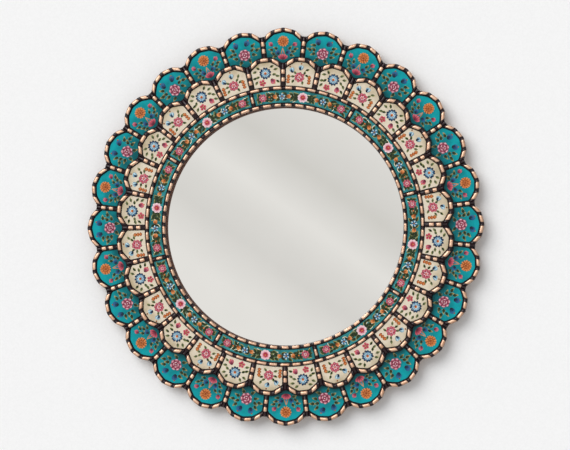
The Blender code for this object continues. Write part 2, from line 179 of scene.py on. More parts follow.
@dataclass(frozen=True)
class Finish:
    """A finish with two tones mixed by a grain, a roughness that follows the same grain, and a fine relief.

    Attributes:
        name: the real material and how its surface was made.
        dark: hex colour in the grain's low places.
        light: hex colour in its high places.
        grain_mm: size of the grain along X, Y and Z.
        roughness: roughness in the low and in the high places.
        metallic: 1 for bare metal.
        coat: weight of a clear gloss over the colour.
        coat_roughness: how sharp that gloss is.
        relief_mm: height of the relief that the fine grain makes.
        relief_grain_mm: size of that fine grain.
        specular: strength of the surface's own gloss.
    """

    name: str
    dark: str
    light: str
    grain_mm: tuple[float, float, float]
    roughness: Span = (0.4, 0.6)
    metallic: float = 0.0
    coat: float = 0.0
    coat_roughness: float = 0.08
    relief_mm: float = 0.05
    relief_grain_mm: float = 1.0
    specular: float = 0.5

    def colour(self, tree: Tree, grain: Socket) -> Socket:
        """The colour output, from the grain's value."""
        stops = [(NOISE_LOW, self.dark), (NOISE_HIGH, self.light)]
        return add_node(tree, "ValToRGB", {"stops": stops}, {"Fac": grain}).outputs["Color"]

    def grain(self, tree: Tree) -> Socket:
        """The grain's value, from noise stretched to its real size along each axis.

        Args:
            tree: the material's node tree.

        Returns:
            The socket that gives it.
        """
        place = add_node(tree, "TexCoord").outputs["Object"]
        scale = tuple(1 / (size * MM) for size in self.grain_mm)
        scaled = add_node(tree, "VectorMath", {"operation": "MULTIPLY", 1: scale}, {0: place})
        noise = add_node(tree, "TexNoise", {"Scale": 1.0, "Detail": 5.0}, {"Vector": scaled.outputs[0]})
        return noise.outputs["Fac"]

    def relief(self, tree: Tree) -> Socket:
        """The normal of the fine relief.

        Args:
            tree: the material's node tree.

        Returns:
            The socket that gives it.
        """
        place = add_node(tree, "TexCoord").outputs["Object"]
        fine = {"Scale": 1 / (self.relief_grain_mm * MM), "Detail": 3.0}
        noise = add_node(tree, "TexNoise", fine, {"Vector": place})
        bump = {"Distance": self.relief_mm * MM, "Strength": 0.6}
        return add_node(tree, "Bump", bump, {"Height": noise.outputs["Fac"]}).outputs["Normal"]

    def material(self) -> bpy.types.Material:
        """The finish's material, made once and then shared.

        Returns:
            The material.
        """
        known = bpy.data.materials.get(self.name)
        if known:
            return known
        made, tree = blank_material(self.name)
        grain = self.grain(tree)
        low, high = self.roughness
        rough = add_node(tree, "MapRange", {"To Min": low, "To Max": high}, {"Value": grain})
        fixed = {
            "Metallic": self.metallic,
            "Coat Weight": self.coat,
            "Coat Roughness": self.coat_roughness,
            "Specular IOR Level": self.specular,
        }
        varied = {
            "Base Color": self.colour(tree, grain),
            "Roughness": rough.outputs["Result"],
            "Normal": self.relief(tree),
        }
        shader = add_node(tree, "BsdfPrincipled", fixed, varied)
        add_node(tree, "OutputMaterial", links={"Surface": shader.outputs["BSDF"]})
        return made


@dataclass(frozen=True)
class BrushedPaint(Finish):
    """Paint laid on in single brush strokes, which run from a dark root to a light tip in fine streaks.

    Attributes:
        root: hex colour where the brush was set down.
        body_place: share of the stroke where the colour of the body is reached.
        streak: how strongly the bristles' streaks vary the colour.
        bristles: how often the streaks change along, across and out of the stroke.
    """

    root: str = "#000000"
    body_place: float = 0.45
    streak: float = 0.35
    bristles: tuple[float, float, float] = (0.9, 9.0, 1.0)

    def grain(self, tree: Tree) -> Socket:
        """The share along the stroke, roughened by streaks that run along it and shifted by its own tone.

        Args:
            tree: the material's node tree.

        Returns:
            The socket that gives it.
        """
        stroke = add_node(tree, "UVMap", {"uv_map": "stroke"}).outputs["UV"]
        parts = add_node(tree, "SeparateXYZ", links={0: stroke})
        long = add_node(tree, "VectorMath", {"operation": "MULTIPLY", 1: self.bristles}, {0: stroke})
        streaks = add_node(tree, "TexNoise", {"Scale": 1.0, "Detail": 2.0}, {"Vector": long.outputs[0]})
        swing = {"From Min": NOISE_LOW, "From Max": NOISE_HIGH, "clamp": True}
        swing |= {"To Min": -self.streak, "To Max": self.streak}
        swung = add_node(tree, "MapRange", swing, {"Value": streaks.outputs["Fac"]})
        streaked = {0: parts.outputs["X"], 1: swung.outputs["Result"]}
        both = add_node(tree, "Math", {"operation": "ADD"}, streaked)
        tone = add_node(tree, "Attribute", {"attribute_name": "tone"}).outputs["Fac"]
        return add_node(tree, "Math", {"operation": "ADD"}, {0: both.outputs[0], 1: tone}).outputs[0]

    def colour(self, tree: Tree, grain: Socket) -> Socket:
        """The colour output: root, body and tip along the stroke."""
        stops = [(0.0, self.root), (self.body_place, self.dark), (1.0, self.light)]
        return add_node(tree, "ValToRGB", {"stops": stops}, {"Fac": grain}).outputs["Color"]


def enamel(name: str, root: str, body: str, tip: str) -> BrushedPaint:
    """An enamel pigment: glossy, with fine streaks where the bristles ran.

    Args:
        name: the material's name.
        root: hex colour where the brush was set down.
        body: hex colour along the stroke.
        tip: hex colour where the brush was lifted.

    Returns:
        The finish.
    """
    return BrushedPaint(
        name=name,
        dark=body,
        light=tip,
        root=root,
        grain_mm=(1.0, 1.0, 1.0),
        roughness=(0.2, 0.34),
        specular=0.3,
        relief_mm=0.02,
        relief_grain_mm=0.7,
    )


class Pigment(Enum):
    """The colours on the painter's table."""

    ROSE = enamel("rose_enamel_brushed", "#6E2036", "#9E465C", "#CC8494")
    ROSE_DARK = enamel("dark_rose_enamel_brushed", "#460C20", "#6E2038", "#904054")
    ROSE_LIGHT = enamel("pale_rose_enamel_brushed", "#CC8C9A", "#E2B4BC", "#F4DCE0")
    RED = enamel("red_enamel_brushed", "#741428", "#B03046", "#D8707C")
    ORANGE = enamel("orange_enamel_brushed", "#803408", "#BC602A", "#E49A5C")
    ORANGE_DARK = enamel("burnt_orange_enamel_brushed", "#52260A", "#864416", "#AC6628")
    GOLD = enamel("gold_yellow_enamel_brushed", "#9C4816", "#CE7638", "#EEA464")
    BLUE = enamel("blue_enamel_brushed", "#061E3C", "#104672", "#2C6C98")
    AZURE = enamel("azure_enamel_brushed", "#2A5470", "#5688A4", "#98BAC8")
    NAVY = enamel("navy_enamel_brushed", "#050C1E", "#0A1C36", "#163452")
    SKY = enamel("sky_enamel_brushed", "#7098AE", "#9CC0CE", "#DCEAEE")
    LEAF = enamel("leaf_green_enamel_brushed", "#0C1606", "#1C2C0E", "#3C4E24")
    OLIVE = enamel("olive_enamel_brushed", "#5E6030", "#868648", "#B2AC70")
    SAGE = enamel("sage_enamel_brushed", "#30381E", "#4C5634", "#747C56")
    CREAM = enamel("cream_enamel_brushed", "#CFC096", "#E8DDBC", "#FBF3DE")
    TAN = enamel("tan_enamel_brushed", "#56562E", "#827A46", "#AC9C68")


PIGMENTS = list(Pigment)


@dataclass(frozen=True)
class ShadedGlass(Finish):
    """Glass painted on its reverse, in a colour that runs from a dark tone to a light one along the tile.

    Attributes:
        dark_mm: distance from the mirror's axis where the dark tone is fullest.
        light_mm: distance where the light tone is fullest.
        cloud: how strongly overlapping brush marks break the shading.
    """

    dark_mm: float = 0.0
    light_mm: float = 1.0
    cloud: float = 0.6

    def grain(self, tree: Tree) -> Socket:
        """The shading's value, broken by the clouds of the brush.

        Args:
            tree: the material's node tree.

        Returns:
            The socket that gives it.
        """
        place = add_node(tree, "TexCoord").outputs["Object"]
        flatten = {"operation": "MULTIPLY", 1: (1 / MM, 0.0, 1 / MM)}
        flat = add_node(tree, "VectorMath", flatten, {0: place})
        reach = add_node(tree, "VectorMath", {"operation": "LENGTH"}, {0: flat.outputs[0]})
        ends = {"From Min": self.dark_mm, "From Max": self.light_mm}
        ends |= {"To Min": NOISE_LOW, "To Max": NOISE_HIGH}
        shade = add_node(tree, "MapRange", ends, {"Value": reach.outputs["Value"]})
        swing = {"To Min": -self.cloud / 2, "To Max": self.cloud / 2}
        clouds = add_node(tree, "MapRange", swing, {"Value": super().grain(tree)})
        both = {0: shade.outputs["Result"], 1: clouds.outputs["Result"]}
        return add_node(tree, "Math", {"operation": "ADD"}, both).outputs[0]


@dataclass(frozen=True)
class Hardboard(Finish):
    """Pressed hardboard seen from its rough side, which keeps the print of the wire screen in the press.

    Attributes:
        screen_mm: spacing of the screen's wires, drawn three times as coarse as real so that it shows.
    """

    screen_mm: float = 3.0

    def relief(self, tree: Tree) -> Socket:
        """The normal of the screen's print, a grid of small pits.

        Args:
            tree: the material's node tree.

        Returns:
            The socket that gives it.
        """
        place = add_node(tree, "TexCoord").outputs["Object"]
        parts = add_node(tree, "SeparateXYZ", links={0: place})
        turns = {"operation": "MULTIPLY", 1: FULL_TURN / (self.screen_mm * MM)}
        waves = []
        for axis in ("X", "Z"):
            swept = add_node(tree, "Math", turns, {0: parts.outputs[axis]})
            waves.append(add_node(tree, "Math", {"operation": "SINE"}, {0: swept.outputs[0]}).outputs[0])
        pits = add_node(tree, "Math", {"operation": "MULTIPLY"}, {0: waves[0], 1: waves[1]})
        bump = {"Distance": self.relief_mm * MM, "Strength": 0.5}
        return add_node(tree, "Bump", bump, {"Height": pits.outputs[0]}).outputs["Normal"]


# Glass painted on its reverse: a ground colour seen through the sheet, cloudy where the brush overlapped,
# with the sharp gloss of the bare glass over it. The petals pale towards their tips; their darker end near
# the arches is painted shade of the raised course that stands over them. The arches pale towards their feet.
TEAL_GLASS = Finish(
    name="teal_reverse_painted_glass",
    dark="#145A5C",
    light="#3A989C",
    grain_mm=(12.0, 12.0, 12.0),
    roughness=(0.1, 0.2),
    specular=0.2,
    relief_mm=0.02,
    relief_grain_mm=2.0,
)
# Darker near the arches by a painted shade, where the raised course stands over the petals.
PETAL_GLASS = ShadedGlass(
    name="teal_reverse_painted_glass_painted_shade",
    dark="#005C62",
    light="#009EA6",
    grain_mm=(14.0, 14.0, 14.0),
    roughness=(0.1, 0.2),
    specular=0.2,
    relief_mm=0.02,
    relief_grain_mm=2.0,
    dark_mm=250.0,
    light_mm=292.0,
)
CREAM_GLASS = replace(
    PETAL_GLASS,
    name="cream_reverse_painted_glass",
    dark="#B4A27E",
    light="#E0D4BF",
    grain_mm=(12.0, 12.0, 12.0),
    specular=0.3,
    dark_mm=257.0,
    light_mm=230.0,
)
# Copper leaf laid in short dashes and burnished: a warm pale metal, a little crinkled, bright where rubbed.
COPPER_LEAF = Finish(
    name="copper_leaf_burnished",
    dark="#D2A080",
    light="#ECC8AE",
    grain_mm=(6.0, 6.0, 6.0),
    roughness=(0.34, 0.52),
    metallic=0.85,
    coat=0.3,
    coat_roughness=0.2,
    relief_mm=0.06,
    relief_grain_mm=0.9,
)
# Dark lacquer brushed over the carved bead: near black with a warm cast, and a wet gloss.
DARK_LACQUER = Finish(
    name="dark_lacquer_brushed",
    dark="#140609",
    light="#29111A",
    grain_mm=(4.0, 4.0, 4.0),
    roughness=(0.2, 0.4),
    specular=0.2,
    coat=0.3,
    relief_grain_mm=1.2,
)
# Fibreboard stained dark: a matt brown with faint clouds where the stain soaked in.
STAINED_BOARD = Finish(
    name="fibreboard_stained",
    dark="#30160A",
    light="#4E2812",
    grain_mm=(12.0, 5.0, 12.0),
    roughness=(0.5, 0.7),
    specular=0.15,
    relief_mm=0.06,
    relief_grain_mm=0.6,
)
# The sawn edge of the raised board under the same stain: lighter and redder, since it drank less.
STAINED_EDGE = replace(
    STAINED_BOARD,
    name="fibreboard_edge_stained",
    dark="#5A2406",
    light="#8A4410",
    grain_mm=(12.0, 2.0, 12.0),
    specular=0.08,
)
# Fibreboard left raw behind: a pale even brown with short fibres.
RAW_BOARD = Finish(
    name="fibreboard_raw",
    dark="#8E6C4C",
    light="#AE8C68",
    grain_mm=(1.6, 1.6, 1.6),
    roughness=(0.75, 0.9),
    relief_mm=0.08,
    relief_grain_mm=0.5,
)
# Hardboard from the press: a dull brown, darker than raw fibreboard, with a grid of small pits.
HARDBOARD = Hardboard(
    name="hardboard_pressed",
    dark="#5C4029",
    light="#7B5A3C",
    grain_mm=(4.0, 4.0, 4.0),
    roughness=(0.7, 0.88),
    relief_mm=0.25,
)
# Zinc plate on pressed steel: a cool grey metal with a soft mottle from the bath.
ZINC_PLATE = Finish(
    name="steel_zinc_plated",
    dark="#A9A69E",
    light="#CFCDC6",
    grain_mm=(2.0, 2.0, 2.0),
    roughness=(0.22, 0.38),
    metallic=1.0,
    relief_mm=0.015,
    relief_grain_mm=0.4,
)
# Silvered float glass: a clean sharp reflection with no colour of its own, and a trace of polishing haze.
SILVERED_GLASS = Finish(
    name="float_glass_silvered",
    dark="#FAF9F8",
    light="#FCFBFA",
    grain_mm=(60.0, 60.0, 60.0),
    roughness=(0.012, 0.03),
    metallic=1.0,
    relief_mm=0.0,
    relief_grain_mm=40.0,
)


@dataclass(frozen=True)
class Scallop:
    """A row of equal arcs round the mirror, each rising to an apex and meeting its neighbours in valleys.

    Attributes:
        apex_radius: distance of each apex from the mirror's axis.
        rise: how much nearer the valleys lie.
        half_pitch: half the angle between two apexes.
        lengths: how many nearly straight lengths of bead each arc is set from.
        straightness: 1 for straight lengths, 0 for a true arc.
    """

    apex_radius: float
    rise: float
    half_pitch: float
    lengths: int
    straightness: float = 0.65

    @property
    def arc_radius(self) -> float:
        """Radius of one arc, through its apex and both valleys."""
        valley_x, valley_z = step_to(AXIS, self.half_pitch, self.apex_radius - self.rise)
        height = self.apex_radius - valley_z
        return (valley_x**2 + height**2) / (2 * height)

    @property
    def centre(self) -> float:
        """Distance of an arc's centre from the mirror's axis."""
        return self.apex_radius - self.arc_radius

    def flattening(self, angle: float) -> float:
        """How far a straight length draws the arc in, most along its middle.

        Args:
            angle: angle from the petal's centre line.

        Returns:
            Share of the arc's radius that is left there.
        """
        end = self.end_angle(0.0, 0.0)
        step = 2 * end / self.lengths
        beside = (angle + end) % step - step / 2
        return 1 - self.straightness * (1 - math.cos(step / 2) / math.cos(beside))

    def point(self, inset: float, angle: float) -> Point:
        """A point of the arc drawn in by an inset, at an angle from the petal's centre line."""
        radius = self.arc_radius * self.flattening(angle) - inset
        return step_to((0.0, self.centre), angle, radius)

    def end_angle(self, inset: float, offset: float) -> float:
        """The angle where the inset arc meets a line beside the divider, at an offset from it."""
        to_line = self.centre * math.sin(self.half_pitch) - offset
        return math.pi / 2 + self.half_pitch - math.acos(to_line / (self.arc_radius - inset))

    def along_divider(self, inset: float, offset: float) -> float:
        """How far along the divider the inset arc meets a line beside it."""
        x, z = self.point(inset, self.end_angle(inset, offset))
        return x * math.sin(self.half_pitch) + z * math.cos(self.half_pitch)

    def half_arc(self, inset: float, offset: float, steps: int) -> list[Point]:
        """Points from the apex to the line beside the divider, on the right of the petal."""
        end = self.end_angle(inset, offset)
        return [self.point(inset, end * i / steps) for i in range(steps + 1)]


@dataclass(frozen=True)
class Sizes:
    """The frame's driving sizes.

    A gap is the joint between a tile and the beads beside it, and the film is the thickness of the glue. The
    band's phase is the angle of its first divider from the top.
    """

    petals: int = 28
    opening: float = 179.3 * MM
    band_width: float = 18.6 * MM
    band_strips: int = 8
    band_phase: float = math.radians(31.2)
    cream_height: float = 37.3 * MM
    arch_rise: float = 12.2 * MM
    arch_dashes: int = 3
    petal_height: float = 43.8 * MM
    petal_rise: float = 15.0 * MM
    petal_dashes: int = 4
    bead: float = 6.4 * MM
    ring_bead: float = 5.0 * MM
    bead_setback: float = 0.6 * MM
    gap: float = 1.0 * MM
    film: float = 0.3 * MM

    @property
    def pitch(self) -> float:
        """Angle from one petal to the next."""
        return FULL_TURN / self.petals

    @property
    def strip_span(self) -> float:
        """Angle from one divider of the band to the next."""
        return FULL_TURN / self.band_strips

    @property
    def inner_bead(self) -> Span:
        """Radii of the bead along the band's inner edge."""
        start = self.opening + self.bead_setback
        return start, start + self.ring_bead

    @property
    def band(self) -> Span:
        """Radii of the band of glass strips."""
        start = self.inner_bead[1] + self.gap
        return start, start + self.band_width

    @property
    def band_middle(self) -> float:
        """Radius of the band's middle line."""
        return sum(self.band) / 2

    @property
    def outer_bead(self) -> Span:
        """Radii of the bead along the band's outer edge."""
        start = self.band[1] + self.gap
        return start, start + self.ring_bead

    @property
    def cream_start(self) -> float:
        """Radius of the foot of the cream tiles."""
        return self.outer_bead[1] + self.gap

    @property
    def arch(self) -> Scallop:
        """The raised course's scalloped edge."""
        apex = self.cream_start + self.cream_height + self.gap + self.bead
        return Scallop(apex, self.arch_rise, self.pitch / 2, self.arch_dashes)

    @property
    def petal(self) -> Scallop:
        """The outer course's scalloped edge."""
        apex = self.arch.apex_radius + self.petal_height
        return Scallop(apex, self.petal_rise, self.pitch / 2, self.petal_dashes)

    @property
    def tile_side(self) -> float:
        """Distance from a tile's side to the middle of the bead beside it."""
        return self.bead / 2 + self.gap

    @property
    def butt(self) -> float:
        """Space left where one bead butts against another."""
        return self.film / 3


def tube_faces(rings: int, count: int, closed: bool = False) -> list[Face]:
    """Faces of a shell through rings of points.

    Args:
        rings: how many rings there are, numbered one after the other.
        count: how many points each has.
        closed: whether the last ring joins the first again.

    Returns:
        The walls ring by ring, then a cap on the first and on the last ring unless it is closed.
    """
    faces: list[Face] = []
    for ring in range(rings if closed else rings - 1):
        low, high = ring * count, (ring + 1) % rings * count
        for i in range(count):
            j = (i + 1) % count
            faces.append((low + i, low + j, high + j, high + i))
    if not closed:
        faces.append(tuple(range(count)))
        faces.append(tuple(range((rings - 1) * count, rings * count)))
    return faces


def drawn_in(outline: Sequence[Point], distance: float, sharpest: float = 0.5) -> list[Point]:
    """Draws an outline in by the same distance along every side.

    Args:
        outline: its corners in order, either way round.
        distance: how far its sides move.
        sharpest: limits how far a sharp corner moves, as the cosine of half its turn.

    Returns:
        The new corners, one for each old one.
    """
    after = [*outline[1:], outline[0]]
    area = sum(a[0] * b[1] - b[0] * a[1] for a, b in zip(outline, after))
    inward = distance if area > 0 else -distance
    inset = []
    for i, corner in enumerate(outline):
        arrive = (Vector(corner) - Vector(outline[i - 1])).normalized()
        leave = (Vector(after[i]) - Vector(corner)).normalized()
        along = (arrive + leave).normalized()
        move = inward / max(sharpest, arrive.dot(along))
        inset.append((corner[0] - along.y * move, corner[1] + along.x * move))
    return inset


@dataclass
class Draft:
    """A mesh in the making: closed shells, a slot for each face, a stroke and a tone for each vertex."""

    points: list[Vector] = field(default_factory=list)
    strokes: list[Point] = field(default_factory=list)
    tones: list[float] = field(default_factory=list)
    faces: list[Face] = field(default_factory=list)
    slots: list[int] = field(default_factory=list)

    def add(
        self,
        points: Sequence[Vector],
        faces: Sequence[Face],
        slots: Sequence[int] | int = 0,
        strokes: Sequence[Point] | None = None,
        tone: float = 0.0,
    ) -> None:
        """Adds one shell.

        Args:
            points: its vertices.
            faces: its faces, counted from its own first vertex.
            slots: a material slot for each face, or one for all.
            strokes: place along and across the brush stroke for each vertex.
            tone: how much lighter the whole shell is than its pigment.
        """
        first = len(self.points)
        self.points.extend(points)
        self.strokes.extend(strokes or [(0.0, 0.0)] * len(points))
        self.tones.extend([tone] * len(points))
        self.faces.extend(tuple(first + i for i in face) for face in faces)
        self.slots.extend([slots] * len(faces) if isinstance(slots, int) else slots)

    def add_tube(
        self, rings: Sequence[Sequence[Vector]], closed: bool = False, slots: Sequence[int] | int = 0
    ) -> None:
        """Adds a shell through rings of equally many points, with a slot for each face or one for all."""
        points = [point for ring in rings for point in ring]
        self.add(points, tube_faces(len(rings), len(rings[0]), closed), slots)

    def add_plate(self, outline: Sequence[Point], back: float, front: float, ease: float) -> None:
        """Adds a flat sheet between two depths, with its front edges eased."""
        inset = drawn_in(outline, ease)
        self.add_tube([at_depth(outline, back), at_depth(outline, front - ease), at_depth(inset, front)])

    def add_lathe(self, profile: Sequence[Point], steps: int, at: Vector) -> None:
        """Adds a solid of revolution about a line along Y.

        Args:
            profile: radius and depth of each ring, from the wall side to the front.
            steps: how many sides the round has.
            at: where the line passes.
        """
        rings = []
        for radius, depth in profile:
            ring = [step_to(AXIS, FULL_TURN * i / steps, radius) for i in range(steps)]
            rings.append([at + point for point in at_depth(ring, depth)])
        self.add_tube(rings)

    def piece(
        self, name: str, finishes: Sequence[Finish], smooth: float = math.radians(40)
    ) -> bpy.types.Object:
        """Turns the draft into a linked object.

        Args:
            name: the piece's name.
            finishes: one finish for each slot.
            smooth: edges flatter than this angle are shaded smooth.

        Returns:
            The new object.
        """
        mesh = bpy.data.meshes.new(name)
        mesh.from_pydata(self.points, [], self.faces)
        for finish in finishes:
            mesh.materials.append(finish.material())
        mesh.polygons.foreach_set("material_index", self.slots)
        layer = mesh.uv_layers.new(name="stroke")
        for loop in mesh.loops:
            layer.data[loop.index].uv = self.strokes[loop.vertex_index]
        mesh.attributes.new("tone", "FLOAT", "POINT").data.foreach_set("value", self.tones)
        bm = bmesh.new()
        bm.from_mesh(mesh)
        bmesh.ops.recalc_face_normals(bm, faces=bm.faces)
        bm.to_mesh(mesh)
        bm.free()
        mesh.shade_smooth()
        mesh.set_sharp_from_angle(angle=smooth)
        made = bpy.data.objects.new(name, mesh)
        bpy.context.scene.collection.objects.link(made)
        return made


def settle(piece: bpy.types.Object, body: str, slot: str, *nodes: str) -> None:
    """Puts a piece on its body in the place of the solids that it stands for.

    Args:
        piece: the finished object.
        body: the body that it rides on.
        slot: the record's material slot; not used.
        nodes: the solids that it replaces.
    """
    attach(piece, body)
    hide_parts(*nodes)
    LOG.info("%s: %d faces", piece.name, len(piece.data.polygons))


class Shape(Enum):
    """How the width of a brush stroke runs from its root to its tip.

    The first number moves the widest place, below 1 towards the root, and the second fills the ends, the
    fuller the lower it is. A dot is a true circle and needs neither.
    """

    LEAF = (0.8, 0.9)
    PETAL = (1.5, 0.62)
    LINE = (1.0, 0.45)
    DOT = None

    def width(self, share: float) -> float:
        """Width at a share of the stroke's length.

        Args:
            share: from 0 at the root to 1 at the tip.

        Returns:
            Share of the stroke's greatest width.
        """
        if self is Shape.DOT:
            return math.sqrt(max(0.0, 1 - (2 * share - 1) ** 2))
        skew, bluntness = self.value
        return math.sin(math.pi * share**skew) ** bluntness


# Shares of a stroke's length where its width is set.
STROKE_SHARES = (0.08, 0.28, 0.5, 0.72, 0.92)


def stroke_places() -> list[Point]:
    """The points of a stroke.

    Returns:
        Place along and across it, for its foot, for its rim and then for the ridge along its middle.
    """
    left = [(share, -1.0) for share in STROKE_SHARES]
    right = [(share, 1.0) for share in reversed(STROKE_SHARES)]
    edge = [(0.0, 0.0), *left, (1.0, 0.0), *right]
    return [*edge, *edge, *((share, 0.0) for share in STROKE_SHARES)]


def stroke_faces() -> list[Face]:
    """The faces of a stroke.

    Returns:
        Its sides and its foot, then the slopes from its rim up to its ridge.
    """
    count = len(STROKE_SHARES)
    rim = 2 * count + 2
    tip = rim + count + 1
    ridge = 2 * rim
    ridge_end = ridge + count - 1
    faces = tube_faces(2, rim)[:-1]
    for i in range(count - 1):
        faces.append((rim + 1 + i, rim + 2 + i, ridge + i + 1, ridge + i))
        faces.append((ridge - 1 - i, ridge - 2 - i, ridge + i + 1, ridge + i))
    faces += [(rim, rim + 1, ridge), (rim, ridge - 1, ridge)]
    faces += [(tip, tip - 1, ridge_end), (tip, tip + 1, ridge_end)]
    return faces


STROKE_PLACES = stroke_places()
STROKE_FACES = stroke_faces()


@dataclass(frozen=True)
class Bud:
    """The colours of a bud's petals, of their cup, of the tip between them and of its light side.

    The tip's place is how far beyond the bud's middle it starts, in lengths of the bud.
    """

    petal: Pigment
    cup: Pigment
    tip: Pigment
    shine: Pigment
    tip_place: float = 0.3


BLUE_BUD = Bud(Pigment.BLUE, Pigment.NAVY, Pigment.ORANGE_DARK, Pigment.BLUE)
AZURE_BUD = Bud(Pigment.AZURE, Pigment.NAVY, Pigment.ORANGE_DARK, Pigment.SKY, 0.6)
NAVY_BUD = Bud(Pigment.BLUE, Pigment.NAVY, Pigment.OLIVE, Pigment.BLUE)
PINK_BUD = Bud(Pigment.RED, Pigment.ROSE_DARK, Pigment.ROSE, Pigment.ROSE)
RED_BUD = Bud(Pigment.RED, Pigment.ROSE_DARK, Pigment.ORANGE, Pigment.ROSE)
ORANGE_BUD = Bud(Pigment.ORANGE, Pigment.ORANGE_DARK, Pigment.CREAM, Pigment.GOLD)


@dataclass(frozen=True)
class Layer:
    """One layer of a flower, measured in its radii: a ring of strokes, or a round dab in the middle.

    Attributes:
        coat: how many of the flower's own coats lie under it.
        pigment: its colour.
        width: width of each stroke, or of the dab.
        count: how many strokes it has, or 0 for a dab.
        start: where they begin, from the middle.
        length: length of each.
        turn: how far the first is turned from the flower's own direction.
        shape: petals, which lie a little off their even places, or lines, which keep to them.
        lean: how far each starts off from pointing outwards.
        bend: how far it turns on its way.
        step: angle from one to the next, or 0 to share the round evenly.
    """

    coat: int
    pigment: Pigment
    width: float
    count: int = 0
    start: float = 0.0
    length: float = 0.0
    turn: float = 0.0
    shape: Shape = Shape.PETAL
    lean: float = 0.0
    bend: float = 0.0
    step: float = 0.0


@dataclass
class Painter:
    """Lays brush strokes on one tile, as thin raised shells in the tile's own plane.

    Attributes:
        draft: the tile's mesh; its slot 0 is the ground, and the pigments follow.
        ground: depth of the tile's front face.
        angle: how far the tile is turned round the mirror.
        hand: seeded chance for the small differences of work done by hand.
        film: height that each coat adds.
        crown: how much higher the middle of a stroke stands than its rim, in coats.
        sunk: how far a stroke reaches into the ground.

    The other fields say how far chance may change a stroke's tone, turn, bend and length.
    """

    draft: Draft
    ground: float
    angle: float
    hand: random.Random
    film: float = 0.045 * MM
    crown: float = 0.8
    sunk: float = 0.02 * MM
    tone: float = 0.08
    petal_sway: float = 0.07
    petal_lengths: Span = (0.94, 1.06)
    bud_sway: float = 0.25
    leaf_sway: float = 0.45
    leaf_bend: float = 0.5

    def chance(self, most: float) -> float:
        """A number drawn evenly from the span between -most and most."""
        return self.hand.uniform(-most, most)

    def stroke(
        self,
        root: Point,
        heading: float,
        length: float,
        width: float,
        pigment: Pigment,
        coat: int,
        shape: Shape = Shape.PETAL,
        bend: float = 0.0,
    ) -> None:
        """Lays one stroke.

        Args:
            root: where the brush is set down, x and z before the tile is turned.
            heading: direction of the stroke.
            length: length of the stroke.
            width: its greatest width.
            pigment: its colour.
            coat: how many coats lie under it.
            shape: how its width runs.
            bend: how far it turns clockwise on its way.
        """
        shares = (0.0, *STROKE_SHARES, 1.0)
        middle = [root]
        for last, share in zip(shares, shares[1:]):
            way = heading + bend * (last + share) / 2
            middle.append(step_to(middle[-1], way, (share - last) * length))
        left, right = [], []
        for spot, share in zip(middle[1:], STROKE_SHARES):
            aside = heading + bend * share + math.pi / 2
            half = shape.width(share) * width / 2
            left.append(step_to(spot, aside, -half))
            right.append(step_to(spot, aside, half))
        edge = [root, *left, middle[-1], *reversed(right)]
        top = self.ground + self.film * (coat + 1)
        levels = ((edge, self.ground - self.sunk), (edge, top), (middle[1:-1], top + self.film * self.crown))
        points = []
        for spots, depth in levels:
            points += at_depth([turned(spot, self.angle) for spot in spots], depth)
        slot = PIGMENTS.index(pigment) + 1
        self.draft.add(points, STROKE_FACES, slot, STROKE_PLACES, self.chance(self.tone))

    def dot(self, centre: Point, size: float, pigment: Pigment, coat: int) -> None:
        """Lays a round dab of a given width."""
        self.stroke(step_to(centre, 0.0, -size / 2), 0.0, size, size, pigment, coat, Shape.DOT)

    def flower(
        self, centre: Point, size: float, layers: Sequence[Layer], coat: int = 1, spin: float | None = None
    ) -> None:
        """Lays a flower, layer by layer.

        Args:
            centre: its middle.
            size: its radius, in which its layers are measured.
            layers: its layers, from the lowest.
            coat: how many coats lie under it.
            spin: the direction that its layers start from, or None to leave that to chance.
        """
        first = self.hand.uniform(0, math.pi) if spin is None else spin
        for layer in layers:
            width, pigment, under = layer.width * size, layer.pigment, coat + layer.coat
            if layer.count == 0:
                self.dot(centre, width, pigment, under)
            for i in range(layer.count):
                way = first + layer.turn + i * (layer.step or FULL_TURN / layer.count)
                length = layer.length * size
                if layer.shape is Shape.PETAL:
                    way += self.chance(self.petal_sway)
                    length *= self.hand.uniform(*self.petal_lengths)
                root = step_to(centre, way, layer.start * size)
                self.stroke(root, way + layer.lean, length, width, pigment, under, layer.shape, layer.bend)

    def bud(self, centre: Point, heading: float, size: float, kind: Bud) -> None:
        """A bud that opens along its heading.

        Args:
            centre: middle of the bud.
            heading: where it opens.
            size: its length without the tip.
            kind: its colours.
        """
        way = heading + self.chance(self.bud_sway)
        back = step_to(centre, way, -0.5 * size)
        front = step_to(centre, way, kind.tip_place * size)
        self.stroke(front, way + 0.25, 0.36 * size, 0.30 * size, kind.tip, 1, Shape.LEAF)
        for turn in (-0.3, 0.3, 0.0):
            self.stroke(back, way + turn, 0.96 * size, 0.60 * size, kind.petal, 2)
        self.stroke(back, way - 0.3, 0.66 * size, 0.62 * size, kind.cup, 3, Shape.DOT)
        self.stroke(back, way + 0.3, 0.90 * size, 0.26 * size, kind.shine, 4)

    def tulip(self, centre: Point, size: float) -> None:
        """A wide flower seen from its side: a fan of red petals with dark veins, under two lines that meet.

        Args:
            centre: middle of the fan, which opens straight up.
            size: its height.
        """
        root = step_to(centre, 0.0, -0.7 * size)
        mouth = step_to(centre, 0.0, 0.1 * size)
        self.stroke(mouth, 0.0, 1.2 * size, 0.16 * size, Pigment.AZURE, 2, Shape.LEAF)
        for side in (-1, 1):
            start = step_to(mouth, math.pi / 2, 0.42 * side * size)
            self.stroke(start, -0.28 * side, 1.5 * size, 0.12 * size, Pigment.GOLD, 2, Shape.LINE)
        for turn in (-0.86, 0.86, -0.44, 0.44, 0.0):
            self.stroke(root, turn, 1.16 * size, 0.52 * size, Pigment.RED, 3)
        for turn in (-0.7, -0.24, 0.24, 0.7):
            self.stroke(root, turn, 0.95 * size, 0.20 * size, Pigment.ROSE_DARK, 4, Shape.LEAF)

